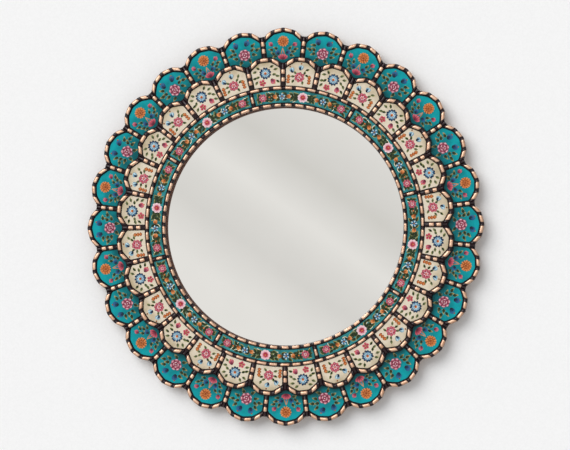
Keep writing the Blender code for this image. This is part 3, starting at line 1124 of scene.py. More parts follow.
    def leaf_start(self, centre: Point, heading: float, length: float) -> tuple[Point, float, float]:
        """A leaf's root, where it really points and how far it bends, by chance."""
        way = heading + self.chance(self.leaf_sway)
        return step_to(centre, way, -0.5 * length), way, self.chance(self.leaf_bend)

    def leaf(
        self,
        centre: Point,
        heading: float,
        length: float,
        body: Pigment = Pigment.LEAF,
        edge: Pigment = Pigment.OLIVE,
    ) -> None:
        """A leaf with a lighter edge, on a short stalk.

        Args:
            centre: middle of the leaf.
            heading: where it points.
            length: its length.
            body: its colour.
            edge: the colour of its edge and stalk.
        """
        root, way, bend = self.leaf_start(centre, heading, length)
        stalk = step_to(root, way, -0.25 * length)
        self.stroke(stalk, way, 0.5 * length, 0.10 * length, edge, 0, Shape.LINE)
        self.stroke(root, way, 1.08 * length, 0.62 * length, edge, 0, Shape.LEAF, bend)
        beside = step_to(root, way + math.pi / 2, 0.07 * length * self.hand.choice((-1, 1)))
        self.stroke(beside, way, 0.98 * length, 0.52 * length, body, 1, Shape.LEAF, bend)

    def tipped_leaf(self, centre: Point, heading: float, length: float) -> None:
        """A dark leaf with a long tan tip, and a tan fleck on each side of its root.

        Args:
            centre: middle of the leaf.
            heading: where it points.
            length: its length.
        """
        root, way, bend = self.leaf_start(centre, heading, length)
        for side in (-1, 1):
            fleck = way + side * self.hand.uniform(0.6, 1.0)
            self.stroke(root, fleck, 0.62 * length, 0.16 * length, Pigment.TAN, 0, Shape.LEAF)
        self.stroke(root, way, 1.22 * length, 0.56 * length, Pigment.TAN, 0, Shape.LEAF, bend)
        self.stroke(root, way, 0.88 * length, 0.60 * length, Pigment.LEAF, 1, Shape.LEAF, bend)

    def sprig(self, centre: Point, length: float) -> None:
        """An upright orange sprig: three dark dabs in line, each with two lighter strokes over it.

        Args:
            centre: middle of the sprig.
            length: its length.
        """
        for start, share in ((-0.5, 0.36), (-0.22, 0.40), (0.08, 0.46)):
            root = step_to(centre, 0.0, start * length)
            dab = share * length
            self.stroke(root, 0.0, dab, 0.44 * length, Pigment.ORANGE_DARK, 0, Shape.LEAF)
            for turn in (-0.3, 0.3):
                self.stroke(root, turn, 0.8 * dab, 0.18 * length, Pigment.ORANGE, 1, Shape.LEAF)


# A full rose: maroon outer petals, narrower pink petals with pale rims over them, and a curled heart.
ROSE = (
    Layer(0, Pigment.ROSE_DARK, 0.80, 7, 0.25, 0.78),
    Layer(1, Pigment.ROSE, 0.46, 7, 0.30, 0.68),
    Layer(2, Pigment.ROSE_LIGHT, 0.14, 7, 0.82, 0.52, -0.34, Shape.LINE, 1.35, 0.9),
    Layer(2, Pigment.ROSE_DARK, 0.98),
    Layer(3, Pigment.ROSE, 0.25, 5, 0.08, 0.42, 0.5),
    Layer(4, Pigment.ROSE_LIGHT, 0.14, 4, 0.36, 0.46, 0.0, Shape.LINE, 1.4, 1.3, 1.7),
    Layer(4, Pigment.ROSE_LIGHT, 0.20),
)
# A round scalloped flower: dark petal tips, red petals with pink ones over them, and a warm heart.
PEONY = (
    Layer(0, Pigment.ROSE_DARK, 0.62, 8, 0.30, 0.74),
    Layer(1, Pigment.RED, 0.52, 8, 0.24, 0.72),
    Layer(2, Pigment.ROSE, 0.24, 8, 0.34, 0.48),
    Layer(3, Pigment.RED, 0.84),
    Layer(4, Pigment.ROSE_LIGHT, 0.22, 6, 0.10, 0.38),
    Layer(5, Pigment.ORANGE, 0.28),
)
# A full orange daisy: a dark disc with a ring of broad petals, yellow rays over them and a dark heart.
ORANGE_DAISY = (
    Layer(0, Pigment.ORANGE_DARK, 1.9),
    Layer(1, Pigment.ORANGE, 0.30, 13, 0.34, 0.66),
    Layer(2, Pigment.GOLD, 0.13, 9, 0.30, 0.50, 0.2),
    Layer(3, Pigment.ORANGE, 0.17, 7, 0.08, 0.30),
    Layer(4, Pigment.ORANGE_DARK, 0.26),
)
# A blue daisy: navy tips behind blue petals with azure and sky strokes, a pale ring and an orange heart.
BLUE_DAISY = (
    Layer(0, Pigment.NAVY, 0.42, 12, 0.40, 0.66),
    Layer(1, Pigment.BLUE, 0.32, 12, 0.20, 0.60),
    Layer(2, Pigment.AZURE, 0.26, 12, 0.20, 0.50),
    Layer(3, Pigment.SKY, 0.14, 12, 0.24, 0.36),
    Layer(4, Pigment.SKY, 0.72),
    Layer(5, Pigment.ORANGE, 0.50),
    Layer(6, Pigment.ORANGE_DARK, 0.18),
)
# A small red flower: five round petals and an orange heart.
RED_FLOWER = (
    Layer(0, Pigment.RED, 0.80, 5, 0.12, 0.90),
    Layer(1, Pigment.ORANGE, 0.42),
)
# The band's flowers, in millimetres: a sky-blue one with darker gaps, and a pale one with a red heart.
BAND_BLUE_FLOWER = (
    Layer(0, Pigment.BLUE, 2.6, 5, 1.0, 3.6, math.pi / 5),
    Layer(1, Pigment.SKY, 2.0, 5, 0.8, 4.2),
    Layer(2, Pigment.ORANGE_DARK, 2.4),
)
BAND_PALE_FLOWER = (
    Layer(0, Pigment.ROSE_LIGHT, 4.8, 9, 2.4, 5.4),
    Layer(1, Pigment.RED, 7.6),
    Layer(2, Pigment.RED, 2.2, 7, 0.8, 3.8),
    Layer(3, Pigment.ORANGE, 2.6),
)
# The greens of the leaves on the cream tiles and the edges of those on the band, drawn by chance.
CREAM_LEAVES = (Pigment.LEAF, Pigment.SAGE, Pigment.SAGE)
BAND_LEAF_EDGES = (Pigment.OLIVE, Pigment.OLIVE, Pigment.OLIVE, Pigment.CREAM)
# Where tufts of leaves lie on the band, as shares of a strip from each of its ends.
BAND_TUFTS = (0.06, 0.085, 0.145, 0.18, 0.205, 0.255, 0.325, 0.39, 0.42, 0.445)


class PetalDesign(Enum):
    """The two designs that alternate round the outer course."""

    ROSE = "rose"
    DAISY = "daisy"

    def paint(self, painter: Painter) -> None:
        """Lays the design on a petal that points up, with places measured from the mirror's axis.

        Args:
            painter: the tile's painter.
        """
        if self is PetalDesign.ROSE:
            (heart,) = in_mm((0.4, 265.4))
            leaves = in_mm(
                (-15.6, 276.2), (15.6, 276.6), (-20.6, 268.4), (20.8, 269.4), (-13.8, 262.8),
                (14.6, 263.0), (-7.4, 255.0), (7.0, 255.2), (-14.6, 269.6), (13.6, 270.4),
            )
            for spot in leaves:
                painter.tipped_leaf(spot, heading_to(heart, spot), 7.2 * MM)
            for spot in in_mm((-9.6, 281.6), (7.6, 281.8)):
                painter.bud(spot, heading_to(heart, spot), 9.4 * MM, BLUE_BUD)
            painter.flower(heart, 8.8 * MM, ROSE)
            return
        heart, fan = in_mm((0.0, 279.2), (-0.8, 256.8))
        leaves = in_mm(
            (-18.4, 266.6), (-11.4, 269.0), (-15.4, 260.6), (10.2, 269.0),
            (15.0, 263.4), (12.6, 257.6), (18.6, 267.4), (-12.6, 256.2),
        )
        for spot in leaves:
            painter.tipped_leaf(spot, heading_to(fan, spot), 6.4 * MM)
        for spot in in_mm((-18.6, 274.8), (17.4, 274.0)):
            painter.bud(spot, heading_to(fan, spot), 6.8 * MM, PINK_BUD)
        for spot in in_mm((-8.4, 262.6), (7.6, 262.4)):
            painter.bud(spot, heading_to(fan, spot), 7.4 * MM, NAVY_BUD)
        painter.tulip(fan, 8.0 * MM)
        painter.flower(heart, 8.6 * MM, ORANGE_DAISY)


class CreamDesign(Enum):
    """The two designs that alternate round the raised course."""

    ROSE = "rose"
    DAISY = "daisy"

    def paint(self, painter: Painter) -> None:
        """Lays the design on an arch that points up, with places measured from the mirror's axis.

        Args:
            painter: the tile's painter.
        """
        if self is CreamDesign.DAISY:
            heart, red, pink = in_mm((-0.8, 231.8), (-6.8, 217.6), (9.0, 218.8))
            leaves = in_mm(
                (-16.8, 235.2), (-17.4, 225.0), (-13.2, 227.0), (-16.0, 218.6), (10.2, 241.0),
                (15.6, 236.0), (12.4, 229.4), (17.0, 225.4), (-11.4, 240.4), (16.6, 217.6),
            )
            for spot in leaves:
                painter.leaf(spot, heading_to(heart, spot), 6.2 * MM, painter.hand.choice(CREAM_LEAVES))
            painter.flower(red, 5.2 * MM, RED_FLOWER)
            painter.bud(pink, heading_to(heart, pink), 8.4 * MM, RED_BUD)
            painter.flower(heart, 8.7 * MM, BLUE_DAISY)
            return
        (heart,) = in_mm((-0.6, 225.0))
        leaves = in_mm(
            (-8.0, 231.6), (-11.0, 225.8), (-10.4, 218.4), (7.2, 232.0),
            (10.6, 228.0), (10.8, 236.8), (5.2, 217.0),
        )
        for spot in leaves:
            painter.leaf(spot, heading_to(heart, spot), 5.8 * MM, painter.hand.choice(CREAM_LEAVES))
        for spot in in_mm((-12.6, 235.0), (0.6, 239.6)):
            painter.bud(spot, heading_to(heart, spot), 8.0 * MM, AZURE_BUD)
        for spot in in_mm((-17.0, 221.0), (14.4, 222.0)):
            painter.sprig(spot, 13.5 * MM)
        painter.flower(heart, 7.6 * MM, PEONY)


@dataclass
class GlassTiles:
    """The petal tiles, the cream tiles and the strips of the band, each with its flowers.

    Steps say how finely half a round edge, half a cream tile's foot and a strip's long edge are divided. The
    seed starts the chance that makes every tile a little different.
    """

    sizes: Sizes
    arc_steps: int = 9
    foot_steps: int = 3
    strip_steps: int = 27
    ease: float = 0.35 * MM
    seed: int = 28
    band_leaf: float = 7.6 * MM

    def petal_outline(self) -> list[Point]:
        """The petal tile: a round top, straight sides and two hollow edges over the arches.

        Returns:
            Its corners, clockwise from its tip.
        """
        sizes = self.sizes
        half = sizes.pitch / 2
        reach = sizes.arch.arc_radius + sizes.gap
        first = math.asin(sizes.tile_side / reach)
        last = math.asin(sizes.arch.centre * math.sin(half) / reach) + half
        right = sizes.petal.half_arc(sizes.bead + sizes.gap, sizes.tile_side, self.arc_steps)
        for i in range(self.arc_steps + 1):
            x, z = sizes.arch.point(-sizes.gap, first + (last - first) * i / self.arc_steps)
            right.append(turned((-x, z), half))
        return right[:-1] + mirrored(right)[:-1]

    def cream_outline(self) -> list[Point]:
        """The cream tile: a round top, straight sides and a foot that follows the band.

        Returns:
            Its corners, clockwise from its tip.
        """
        sizes = self.sizes
        right = sizes.arch.half_arc(sizes.bead + sizes.gap, sizes.tile_side, self.arc_steps)
        end = sizes.pitch / 2 - math.asin(sizes.tile_side / sizes.cream_start)
        for i in range(self.foot_steps + 1):
            right.append(step_to(AXIS, end * (1 - i / self.foot_steps), sizes.cream_start))
        return right[:-1] + mirrored(right)[:-1]

    def strip_outline(self) -> list[Point]:
        """A strip of the band between two dividers.

        Returns:
            Its corners, clockwise along its outer edge and back along its inner one.
        """
        sizes = self.sizes
        inner, outer = sizes.band
        side = sizes.ring_bead / 2 + sizes.gap
        steps = self.strip_steps
        edges = []
        for radius, order in ((outer, 1), (inner, -1)):
            end = math.asin(side / radius)
            span = sizes.strip_span - 2 * end
            arc = [step_to(AXIS, end + span * i / steps, radius) for i in range(steps + 1)]
            edges.extend(arc[::order])
        return edges

    def build(self) -> None:
        """Makes every tile and strip."""
        self.build_petals()
        self.build_cream()
        self.build_band()

    def tile(self, name: str, outline: Sequence[Point], angle: float, node: str) -> Painter:
        """Starts one tile and hands its painter over.

        Args:
            name: the tile's name, which also seeds its chance.
            outline: its corners before it is turned.
            angle: how far it is turned.
            node: the solid that has its depths.

        Returns:
            The painter for its front.
        """
        back, front = depths(node)
        draft = Draft()
        draft.add_plate([turned(point, angle) for point in outline], back, front, self.ease)
        return Painter(draft, front, angle, random.Random(f"{name}{self.seed}"))

    def finishes(self, ground: Finish) -> list[Finish]:
        """The ground, then every pigment in the order of its slot."""
        return [ground, *(pigment.value for pigment in PIGMENTS)]

    def build_petals(self) -> None:
        """The outer course, daisy and rose in turn from the top."""
        outline = self.petal_outline()
        for i in range(self.sizes.petals):
            name = f"outer_tile_{i + 1:02d}"
            painter = self.tile(name, outline, i * self.sizes.pitch, name)
            design = PetalDesign.ROSE if i % 2 else PetalDesign.DAISY
            design.paint(painter)
            piece = painter.draft.piece("petal_" + name, self.finishes(PETAL_GLASS))
            settle(piece, BODY, "teal_glass", name)

    def build_cream(self) -> None:
        """The raised course, rose and daisy in turn, half a pitch from the top."""
        outline = self.cream_outline()
        for i in range(self.sizes.petals):
            name = f"cream_tile_{i + 1:02d}"
            painter = self.tile(name, outline, (i + 0.5) * self.sizes.pitch, "band_strip_1")
            design = CreamDesign.DAISY if i % 2 else CreamDesign.ROSE
            design.paint(painter)
            piece = painter.draft.piece(name, self.finishes(CREAM_GLASS))
            settle(piece, BODY, "cream_course", "raised_course")

    def build_band(self) -> None:
        """The strips of the band, each with a run of flowers from end to end."""
        outline = self.strip_outline()
        for i in range(self.sizes.band_strips):
            name = f"band_strip_{i + 1}"
            start = self.sizes.band_phase + i * self.sizes.strip_span
            painter = self.tile(name, outline, start, name)
            self.paint_strip(painter, start)
            piece = painter.draft.piece("painted_" + name, self.finishes(TEAL_GLASS))
            settle(piece, BODY, "teal_glass", name)

    def paint_strip(self, painter: Painter, start: float) -> None:
        """Lays a strip's leaves and flowers, each drawn upright at its own place along the strip.

        Args:
            painter: the strip's painter, whose angle follows the flowers.
            start: angle of the strip's first divider.
        """
        middle = self.sizes.band_middle

        def go_to(share: float) -> Point:
            """Turns the painter to a share of the strip and gives the spot there."""
            painter.angle = start + share * self.sizes.strip_span
            return (0.0, middle)

        for share in BAND_TUFTS:
            for place, way in ((share, -1), (1 - share, 1)):
                painter.leaf(go_to(place), way * math.pi / 2, self.band_leaf, edge=Pigment.SAGE)
                for side in (-1, 1):
                    go_to(place + painter.chance(0.008))
                    self.paint_side_leaf(painter, side, way)
        for share in (0.105, 0.895):
            painter.flower(go_to(share), 6.0 * MM, PEONY, 2)
        for share in (0.17, 0.83):
            painter.dot(go_to(share), 2.6 * MM, Pigment.ORANGE, 2)
        for share, lean in ((0.225, 1.9), (0.36, 1.2), (0.64, -1.9), (0.775, -1.2)):
            painter.bud(go_to(share), lean, 7.0 * MM, ORANGE_BUD)
        for share in (0.295, 0.705):
            painter.flower(go_to(share), MM, BAND_BLUE_FLOWER, 2, 0.0)
        painter.flower(go_to(0.5), MM, BAND_PALE_FLOWER, 2, 0.0)

    def paint_side_leaf(self, painter: Painter, side: int, way: int) -> None:
        """Lays a leaf beside a strip's middle line, as far out as it fits.

        Args:
            painter: the strip's painter, already turned to the leaf's place.
            side: 1 for the outer side of the strip, -1 for the inner.
            way: 1 for a leaf that leans clockwise, -1 for one that leans back.
        """
        middle = self.sizes.band_middle
        lean = painter.hand.uniform(0.5, 1.5)
        tip = 0.6 * self.band_leaf * math.cos(lean - painter.leaf_sway)
        most = self.sizes.band[1] - middle - tip - self.sizes.gap
        out = min(painter.hand.uniform(3.4, 6.4) * MM, most)
        heading = way * (lean if side > 0 else math.pi - lean)
        edge = painter.hand.choice(BAND_LEAF_EDGES)
        painter.leaf((0.0, middle + side * out), heading, self.band_leaf, edge=edge)


@dataclass(frozen=True)
class BeadRun:
    """One strip of bead from end to end, or a closed ring.

    Attributes:
        length: length of its middle line.
        width: its width.
        dashes: how many dashes of leaf it carries.
        place: the point at a share of its length and an offset across it.
        cover: share of the length that leaf covers.
        leaf: where leaf starts and ends across it, in half-widths from its middle.
        dashed: where along it the dashes start and end, if not at its own ends.
        vary: shortest and longest dash, as shares of the even length.
        slant: how far the ends of a dash may lean along the bead.
        closed: whether it ends where it starts.
    """

    length: float
    width: float
    dashes: int
    place: Callable[[float, float], Point]
    cover: float
    leaf: Span
    dashed: Span | None = None
    vary: Span = (0.9, 1.08)
    slant: float = 0.0
    closed: bool = False


@dataclass(frozen=True)
class Station:
    """One cross-section of a bead.

    Attributes:
        along: its distance from the bead's start.
        lift: how far the leaf stands up there.
        rounding: how far the section's ends are drawn along, to round a dash's corners.
        slant: how far its outer end is drawn along, to lean a dash's end.
        leafed: whether leaf covers the bead from here to the next station.
    """

    along: float
    lift: float = 0.0
    rounding: float = 0.0
    slant: float = 0.0
    leafed: bool = False


def round_end(radius: float) -> Callable[[float], float]:
    """The end of a straight bead that stands against a ring of this radius, at an offset across the bead."""
    return lambda offset: math.sqrt(radius**2 - offset**2)


@dataclass
class BeadWork:
    """The half-round beads round every tile, lacquered dark and dashed with leaf.

    The leaf stands above the lacquer by its lift, less at the ends of a dash, and a ramp is half the step up
    to it. What lies across a bead is measured in half-widths from its middle. The rounding room keeps the
    leaf's own edges within its reach.
    """

    sizes: Sizes
    corner: float = 0.4 * MM
    lift: float = 0.45 * MM
    edge_lift: float = 0.7
    ramp: float = 0.12 * MM
    wander: float = 0.5 * MM
    shoulder: float = 1.3 * MM
    dome_power: float = 2.5
    bare_offsets: tuple[float, ...] = (-1.0, -0.95, -0.86, 0.72, 0.86, 0.95, 1.0)
    leaf_margin: float = 0.04
    leaf_steps: int = 5
    rounding_room: float = 0.001
    spoke_leaf: Span = (-0.82, 0.82)
    course_dash: float = 6.8 * MM
    band_dash: float = 10.0 * MM
    hand: random.Random = field(default_factory=lambda: random.Random(75))

    def stations(self, run: BeadRun) -> list[Station]:
        """The cross-sections along a run, with each dash a little off its even place.

        Args:
            run: the strip of bead.

        Returns:
            Its stations in order.
        """
        first, end = run.dashed or (0.0, run.length)
        pitch = (end - first) / run.dashes
        low = self.edge_lift * self.lift
        made = [] if run.closed else [Station(0.0)]
        for i in range(run.dashes):
            centre = first + (i + 0.5) * pitch + self.hand.uniform(-self.wander, self.wander)
            reach = run.cover * pitch / 2 * self.hand.uniform(*run.vary)
            lean = self.hand.uniform(-run.slant, run.slant)
            made += [
                Station(centre - reach - self.ramp, 0.0, self.corner, lean),
                Station(centre - reach + self.ramp, low, self.corner, lean, True),
                Station(centre - 0.5 * reach, self.lift, 0.0, lean, True),
                Station(centre, self.lift, 0.0, lean, True),
                Station(centre + 0.5 * reach, self.lift, 0.0, lean, True),
                Station(centre + reach - self.ramp, low, -self.corner, lean),
                Station(centre + reach + self.ramp, 0.0, -self.corner, lean),
                Station(first + (i + 1) * pitch),
            ]
        if not run.closed:
            made[-1] = Station(run.length)
        return made

    def section(self, height: float, leaf: Span) -> list[Point]:
        """Cross-section of the bead.

        Args:
            height: height of its crest above its seat.
            leaf: where leaf starts and ends, in half-widths from the middle.

        Returns:
            Offset in half-widths and height of each point, from one foot over the crest to the other.
        """
        start, end = leaf
        step = (end - start) / self.leaf_steps
        below, above = start - self.leaf_margin, end + self.leaf_margin
        offsets = [start + step * i for i in range(self.leaf_steps + 1)]
        offsets += [s for s in (*self.bare_offsets, below, above) if s <= below or s >= above]
        spread = sorted({round(min(1.0, max(-1.0, s)), 4) for s in offsets})
        rise = height - self.shoulder
        dome = [(s, self.shoulder + rise * math.sqrt(1 - abs(s) ** self.dome_power)) for s in spread]
        return [(-1.0, 0.0), *dome, (1.0, 0.0)]

    def add_run(self, draft: Draft, run: BeadRun, back: float, front: float) -> None:
        """Adds one run to a mesh, between the depths of its seat and its crest.

        Args:
            draft: the mesh that gets it; slot 0 is lacquer and slot 1 is leaf.
            run: the strip.
            back: depth of its seat.
            front: depth of its leafed crest.
        """
        section = self.section(front - back - self.lift, run.leaf)
        middle = sum(run.leaf) / 2
        reach = run.leaf[1] - middle + self.rounding_room
        aside = [abs(offset - middle) for offset, _ in section]
        stations = self.stations(run)
        rings = []
        for station in stations:
            ring = []
            for (offset, height), off_middle in zip(section, aside):
                spread = min(1.0, off_middle / reach)
                shift = station.rounding * (1 - math.sqrt(1 - spread**2)) + station.slant * offset
                share = (station.along + shift) / run.length
                if not run.closed:
                    share = min(1.0, max(0.0, share))
                lift = station.lift if off_middle <= reach else 0.0
                place = run.place(share, offset * run.width / 2)
                ring += at_depth([place], back + height + lift)
            rings.append(ring)
        covered = [max(pair) <= reach for pair in zip(aside, [*aside[1:], aside[0]])]
        slots = [int(station.leafed and here) for station in stations for here in covered]
        if not run.closed:
            # An open run has no walls after its last station, only its two caps.
            slots[-len(section) :] = [0, 0]
        draft.add_tube(rings, run.closed, slots)

    def arc_run(self, scallop: Scallop, angle: float, cover: float, leaf: Span) -> BeadRun:
        """The bead over one petal or arch, which butts against the divider on each side.

        Args:
            scallop: the course's edge.
            angle: how far the petal or arch is turned.
            cover: share of the bead that leaf covers.
            leaf: where leaf starts and ends across it, in half-widths.

        Returns:
            The run.
        """
        half = self.sizes.bead / 2
        beside = half + self.sizes.butt

        def place(share: float, offset: float) -> Point:
            """Point of the arc, drawn in by the offset from its middle line."""
            inset = half - offset
            return turned(scallop.point(inset, (2 * share - 1) * scallop.end_angle(inset, beside)), angle)

        length = 2 * scallop.end_angle(half, beside) * (scallop.arc_radius - half)
        return BeadRun(length, self.sizes.bead, scallop.lengths, place, cover, leaf)

    def spoke_run(
        self,
        foot: Callable[[float], float],
        top: Callable[[float], float],
        angle: float,
        width: float,
        centres: Sequence[float],
        dash: float,
    ) -> BeadRun:
        """A straight bead that points at the mirror's axis, with square dashes.

        Args:
            foot: where it starts, at an offset across it.
            top: where it ends, at an offset across it.
            angle: its heading.
            width: its width.
            centres: distances of its dashes from the mirror's axis, evenly spaced.
            dash: length of each dash.

        Returns:
            The run.
        """
        low, high = foot(0.0), top(0.0)
        length = high - low

        def place(share: float, offset: float) -> Point:
            """Point between the foot and the top, which alone follow what the bead stands against."""
            ends = {0.0: foot(offset), 1.0: top(offset)}
            return turned((offset, ends.get(share, low + length * share)), angle)

        pitch = (centres[-1] - centres[0]) / (len(centres) - 1) if len(centres) > 1 else length
        dashed = (centres[0] - low - pitch / 2, centres[-1] - low + pitch / 2)
        return BeadRun(length, width, len(centres), place, dash / pitch, self.spoke_leaf, dashed)

    def ring_run(self, radii: Span, dashes: int, leaf_end: float) -> BeadRun:
        """A closed ring round the band, whose leaf reaches its inner edge in dashes of uneven length.

        Args:
            radii: its inner and outer radius.
            dashes: how many dashes of leaf it carries.
            leaf_end: where the leaf ends across it, in half-widths.

        Returns:
            The run.
        """
        middle = sum(radii) / 2

        def place(share: float, offset: float) -> Point:
            """Point of the ring."""
            return step_to(AXIS, FULL_TURN * share, middle + offset)

        return BeadRun(
            length=FULL_TURN * middle,
            width=radii[1] - radii[0],
            dashes=dashes,
            place=place,
            cover=0.73,
            leaf=(-0.95, leaf_end),
            vary=(0.75, 1.15),
            slant=0.5 * MM,
            closed=True,
        )

    def build(self) -> None:
        """Makes the beads of the petals, the arches and the band."""
        sizes = self.sizes
        self.build_course(
            node="petal_beads",
            scallop=sizes.petal,
            phase=0.0,
            foot=self.over_arch,
            dashes=(265.2 * MM, 276.4 * MM),
            cover=0.65,
            leaf=(-0.6, 0.95),
        )
        self.build_course(
            node="arch_beads",
            scallop=sizes.arch,
            phase=0.5,
            foot=round_end(sizes.outer_bead[1] + sizes.film),
            dashes=(220.8 * MM, 232.0 * MM),
            cover=0.62,
            leaf=(-0.82, 0.82),
        )
        self.build_single("band_outer_bead", self.ring_run(sizes.outer_bead, dashes=75, leaf_end=0.82))
        self.build_single("band_inner_bead", self.ring_run(sizes.inner_bead, dashes=69, leaf_end=0.72))
        foot = round_end(sizes.inner_bead[1] + sizes.film)
        top = round_end(sizes.outer_bead[0] - sizes.film)
        for i in range(sizes.band_strips):
            angle = sizes.band_phase + i * sizes.strip_span
            run = self.spoke_run(foot, top, angle, sizes.ring_bead, [sizes.band_middle], self.band_dash)
            self.build_single(f"band_divider_{i + 1}", run)

    def over_arch(self, offset: float) -> float:
        """Where a petal's divider stands on the arch below it, at an offset across the divider."""
        arch = self.sizes.arch
        return arch.point(-self.sizes.film, math.asin(offset / arch.arc_radius))[1]

    def build_course(
        self,
        node: str,
        scallop: Scallop,
        phase: float,
        foot: Callable[[float], float],
        dashes: Sequence[float],
        cover: float,
        leaf: Span,
    ) -> None:
        """The beads of one course: an arc over every tile and a divider between every two.

        Args:
            node: the solid that they stand for.
            scallop: the course's edge.
            phase: how far the first tile is turned from the top, in pitches.
            foot: where the dividers start.
            dashes: distances of a divider's dashes from the mirror's axis.
            cover: share of each arc that leaf covers.
            leaf: where leaf starts and ends across an arc, in half-widths.
        """
        sizes = self.sizes
        back, front = depths(node)

        def top(offset: float) -> float:
            """Where a divider ends, in the notch between the arcs on both sides of it."""
            return scallop.along_divider(sizes.butt, abs(offset))

        draft = Draft()
        for i in range(sizes.petals):
            angle = (i + phase) * sizes.pitch
            self.add_run(draft, self.arc_run(scallop, angle, cover, leaf), back, front)
            beside = angle + sizes.pitch / 2
            divider = self.spoke_run(foot, top, beside, sizes.bead, dashes, self.course_dash)
            self.add_run(draft, divider, back, front)
        self.finish(draft, node)

    def build_single(self, node: str, run: BeadRun) -> None:
        """Makes a bead of one run.

        Args:
            node: the solid that it stands for.
            run: its only run.
        """
        draft = Draft()
        self.add_run(draft, run, *depths(node))
        self.finish(draft, node)

    def finish(self, draft: Draft, node: str) -> None:
        """Turns a draft of beads into a piece in the place of its solid."""
        piece = draft.piece("leafed_" + node, [DARK_LACQUER, COPPER_LEAF], math.radians(60))
        settle(piece, BODY, "leafed_bead", node)


@dataclass
class Boards:
    """The base board and the board of the raised course.

    The stain laps onto the rear by a length that wandered with the brush. The mirror laps behind the lip,
    with some room round it in its rebate.
    """

    sizes: Sizes
    arc_steps: int = 8
    stain_lap: float = 6.0 * MM
    lap_range: Span = (0.6, 1.3)
    lap_seed: int = 12
    mirror_lap: float = 9.0 * MM
    mirror_room: float = 0.6 * MM

    def scalloped(self, scallop: Scallop, phase: float) -> list[Point]:
        """The whole scalloped edge, clockwise.

        Args:
            scallop: the course's edge.
            phase: how far the first apex is turned from the top, in pitches.

        Returns:
            Its points from the valley before the first apex.
        """
        right = scallop.half_arc(0.0, 0.0, self.arc_steps)
        edge = mirrored(right)[:-1] + right[:-1]
        turns = [(i + phase) * self.sizes.pitch for i in range(self.sizes.petals)]
        return [turned(point, turn) for turn in turns for point in edge]

    def circle_like(self, edge: Sequence[Point], radius: float) -> list[Point]:
        """A circle with one point straight inside each point of an edge."""
        return [step_to(AXIS, heading_to(AXIS, point), radius) for point in edge]

    def make(
        self,
        name: str,
        node: str,
        loops: Sequence[tuple[Sequence[Point], float, int]],
        finishes: Sequence[Finish],
    ) -> None:
        """Makes a board through closed loops, from the last back to the first.

        Args:
            name: the piece's name.
            node: the solid that it replaces.
            loops: points and depth of each loop, and the material slot from it to the next.
            finishes: one finish for each slot.
        """
        rings = [at_depth(points, depth) for points, depth, _ in loops]
        slots = [slot for points, _, slot in loops for _ in points]
        draft = Draft()
        draft.add_tube(rings, True, slots)
        settle(draft.piece(name, finishes), BODY, "stained_board", node)

    def build(self) -> None:
        """Makes both boards."""
        self.build_base()
        self.build_course()

    def build_base(self) -> None:
        """The base board: lacquered in front, stained at its edges, raw behind, with the mirror's rebate."""
        back, front = depths("base_board")
        lip = depths("mirror_glass")[1] + self.sizes.film
        edge = self.scalloped(self.sizes.petal, 0.0)
        opening = self.circle_like(edge, self.sizes.opening)
        rebate = self.circle_like(edge, self.sizes.opening + self.mirror_lap + self.mirror_room)
        hand = random.Random(self.lap_seed)
        laps = [1 - self.stain_lap * hand.uniform(*self.lap_range) / math.hypot(x, z) for x, z in edge]
        brushed = [(x * lap, z * lap) for (x, z), lap in zip(edge, laps)]
        stained, lacquered, raw = range(3)
        loops = [
            (edge, back, stained),
            (edge, front, lacquered),
            (opening, front, stained),
            (opening, lip, stained),
            (rebate, lip, raw),
            (rebate, back, raw),
            (brushed, back, stained),
        ]
        self.make("scalloped_board", "base_board", loops, [STAINED_BOARD, DARK_LACQUER, RAW_BOARD])

    def build_course(self) -> None:
        """The raised course's board, lacquered in front and at its arched edge, stained at the opening."""
        back = depths("raised_course")[0]
        front = depths("band_strip_1")[0] - self.sizes.film
        edge = self.scalloped(self.sizes.arch, 0.5)
        opening = self.circle_like(edge, self.sizes.opening)
        stained, lacquered = range(2)
        loops = [
            (edge, back, lacquered),
            (edge, front, lacquered),
            (opening, front, stained),
            (opening, back, stained),
        ]
        self.make("raised_course_board", "raised_course", loops, [STAINED_EDGE, DARK_LACQUER])


def carve(piece: bpy.types.Object, tool: bpy.types.Object, sharp: float = math.radians(35)) -> None:
    """Takes a tool's shape out of a piece for good, and removes the tool.

    Args:
        piece: the object that is cut.
        tool: the object whose shape is taken out, whose shells may cross.
        sharp: edges flatter than this angle are shaded smooth.
    """
    modifier = piece.modifiers.new("carve", "BOOLEAN")
    modifier.operation = "DIFFERENCE"
    modifier.object = tool
    modifier.use_self = True
    shown = piece.evaluated_get(bpy.context.evaluated_depsgraph_get())
    mesh = bpy.data.meshes.new_from_object(shown)
    piece.modifiers.clear()
    piece.data = mesh
    mesh.set_sharp_from_angle(angle=sharp)
    bpy.data.objects.remove(tool)


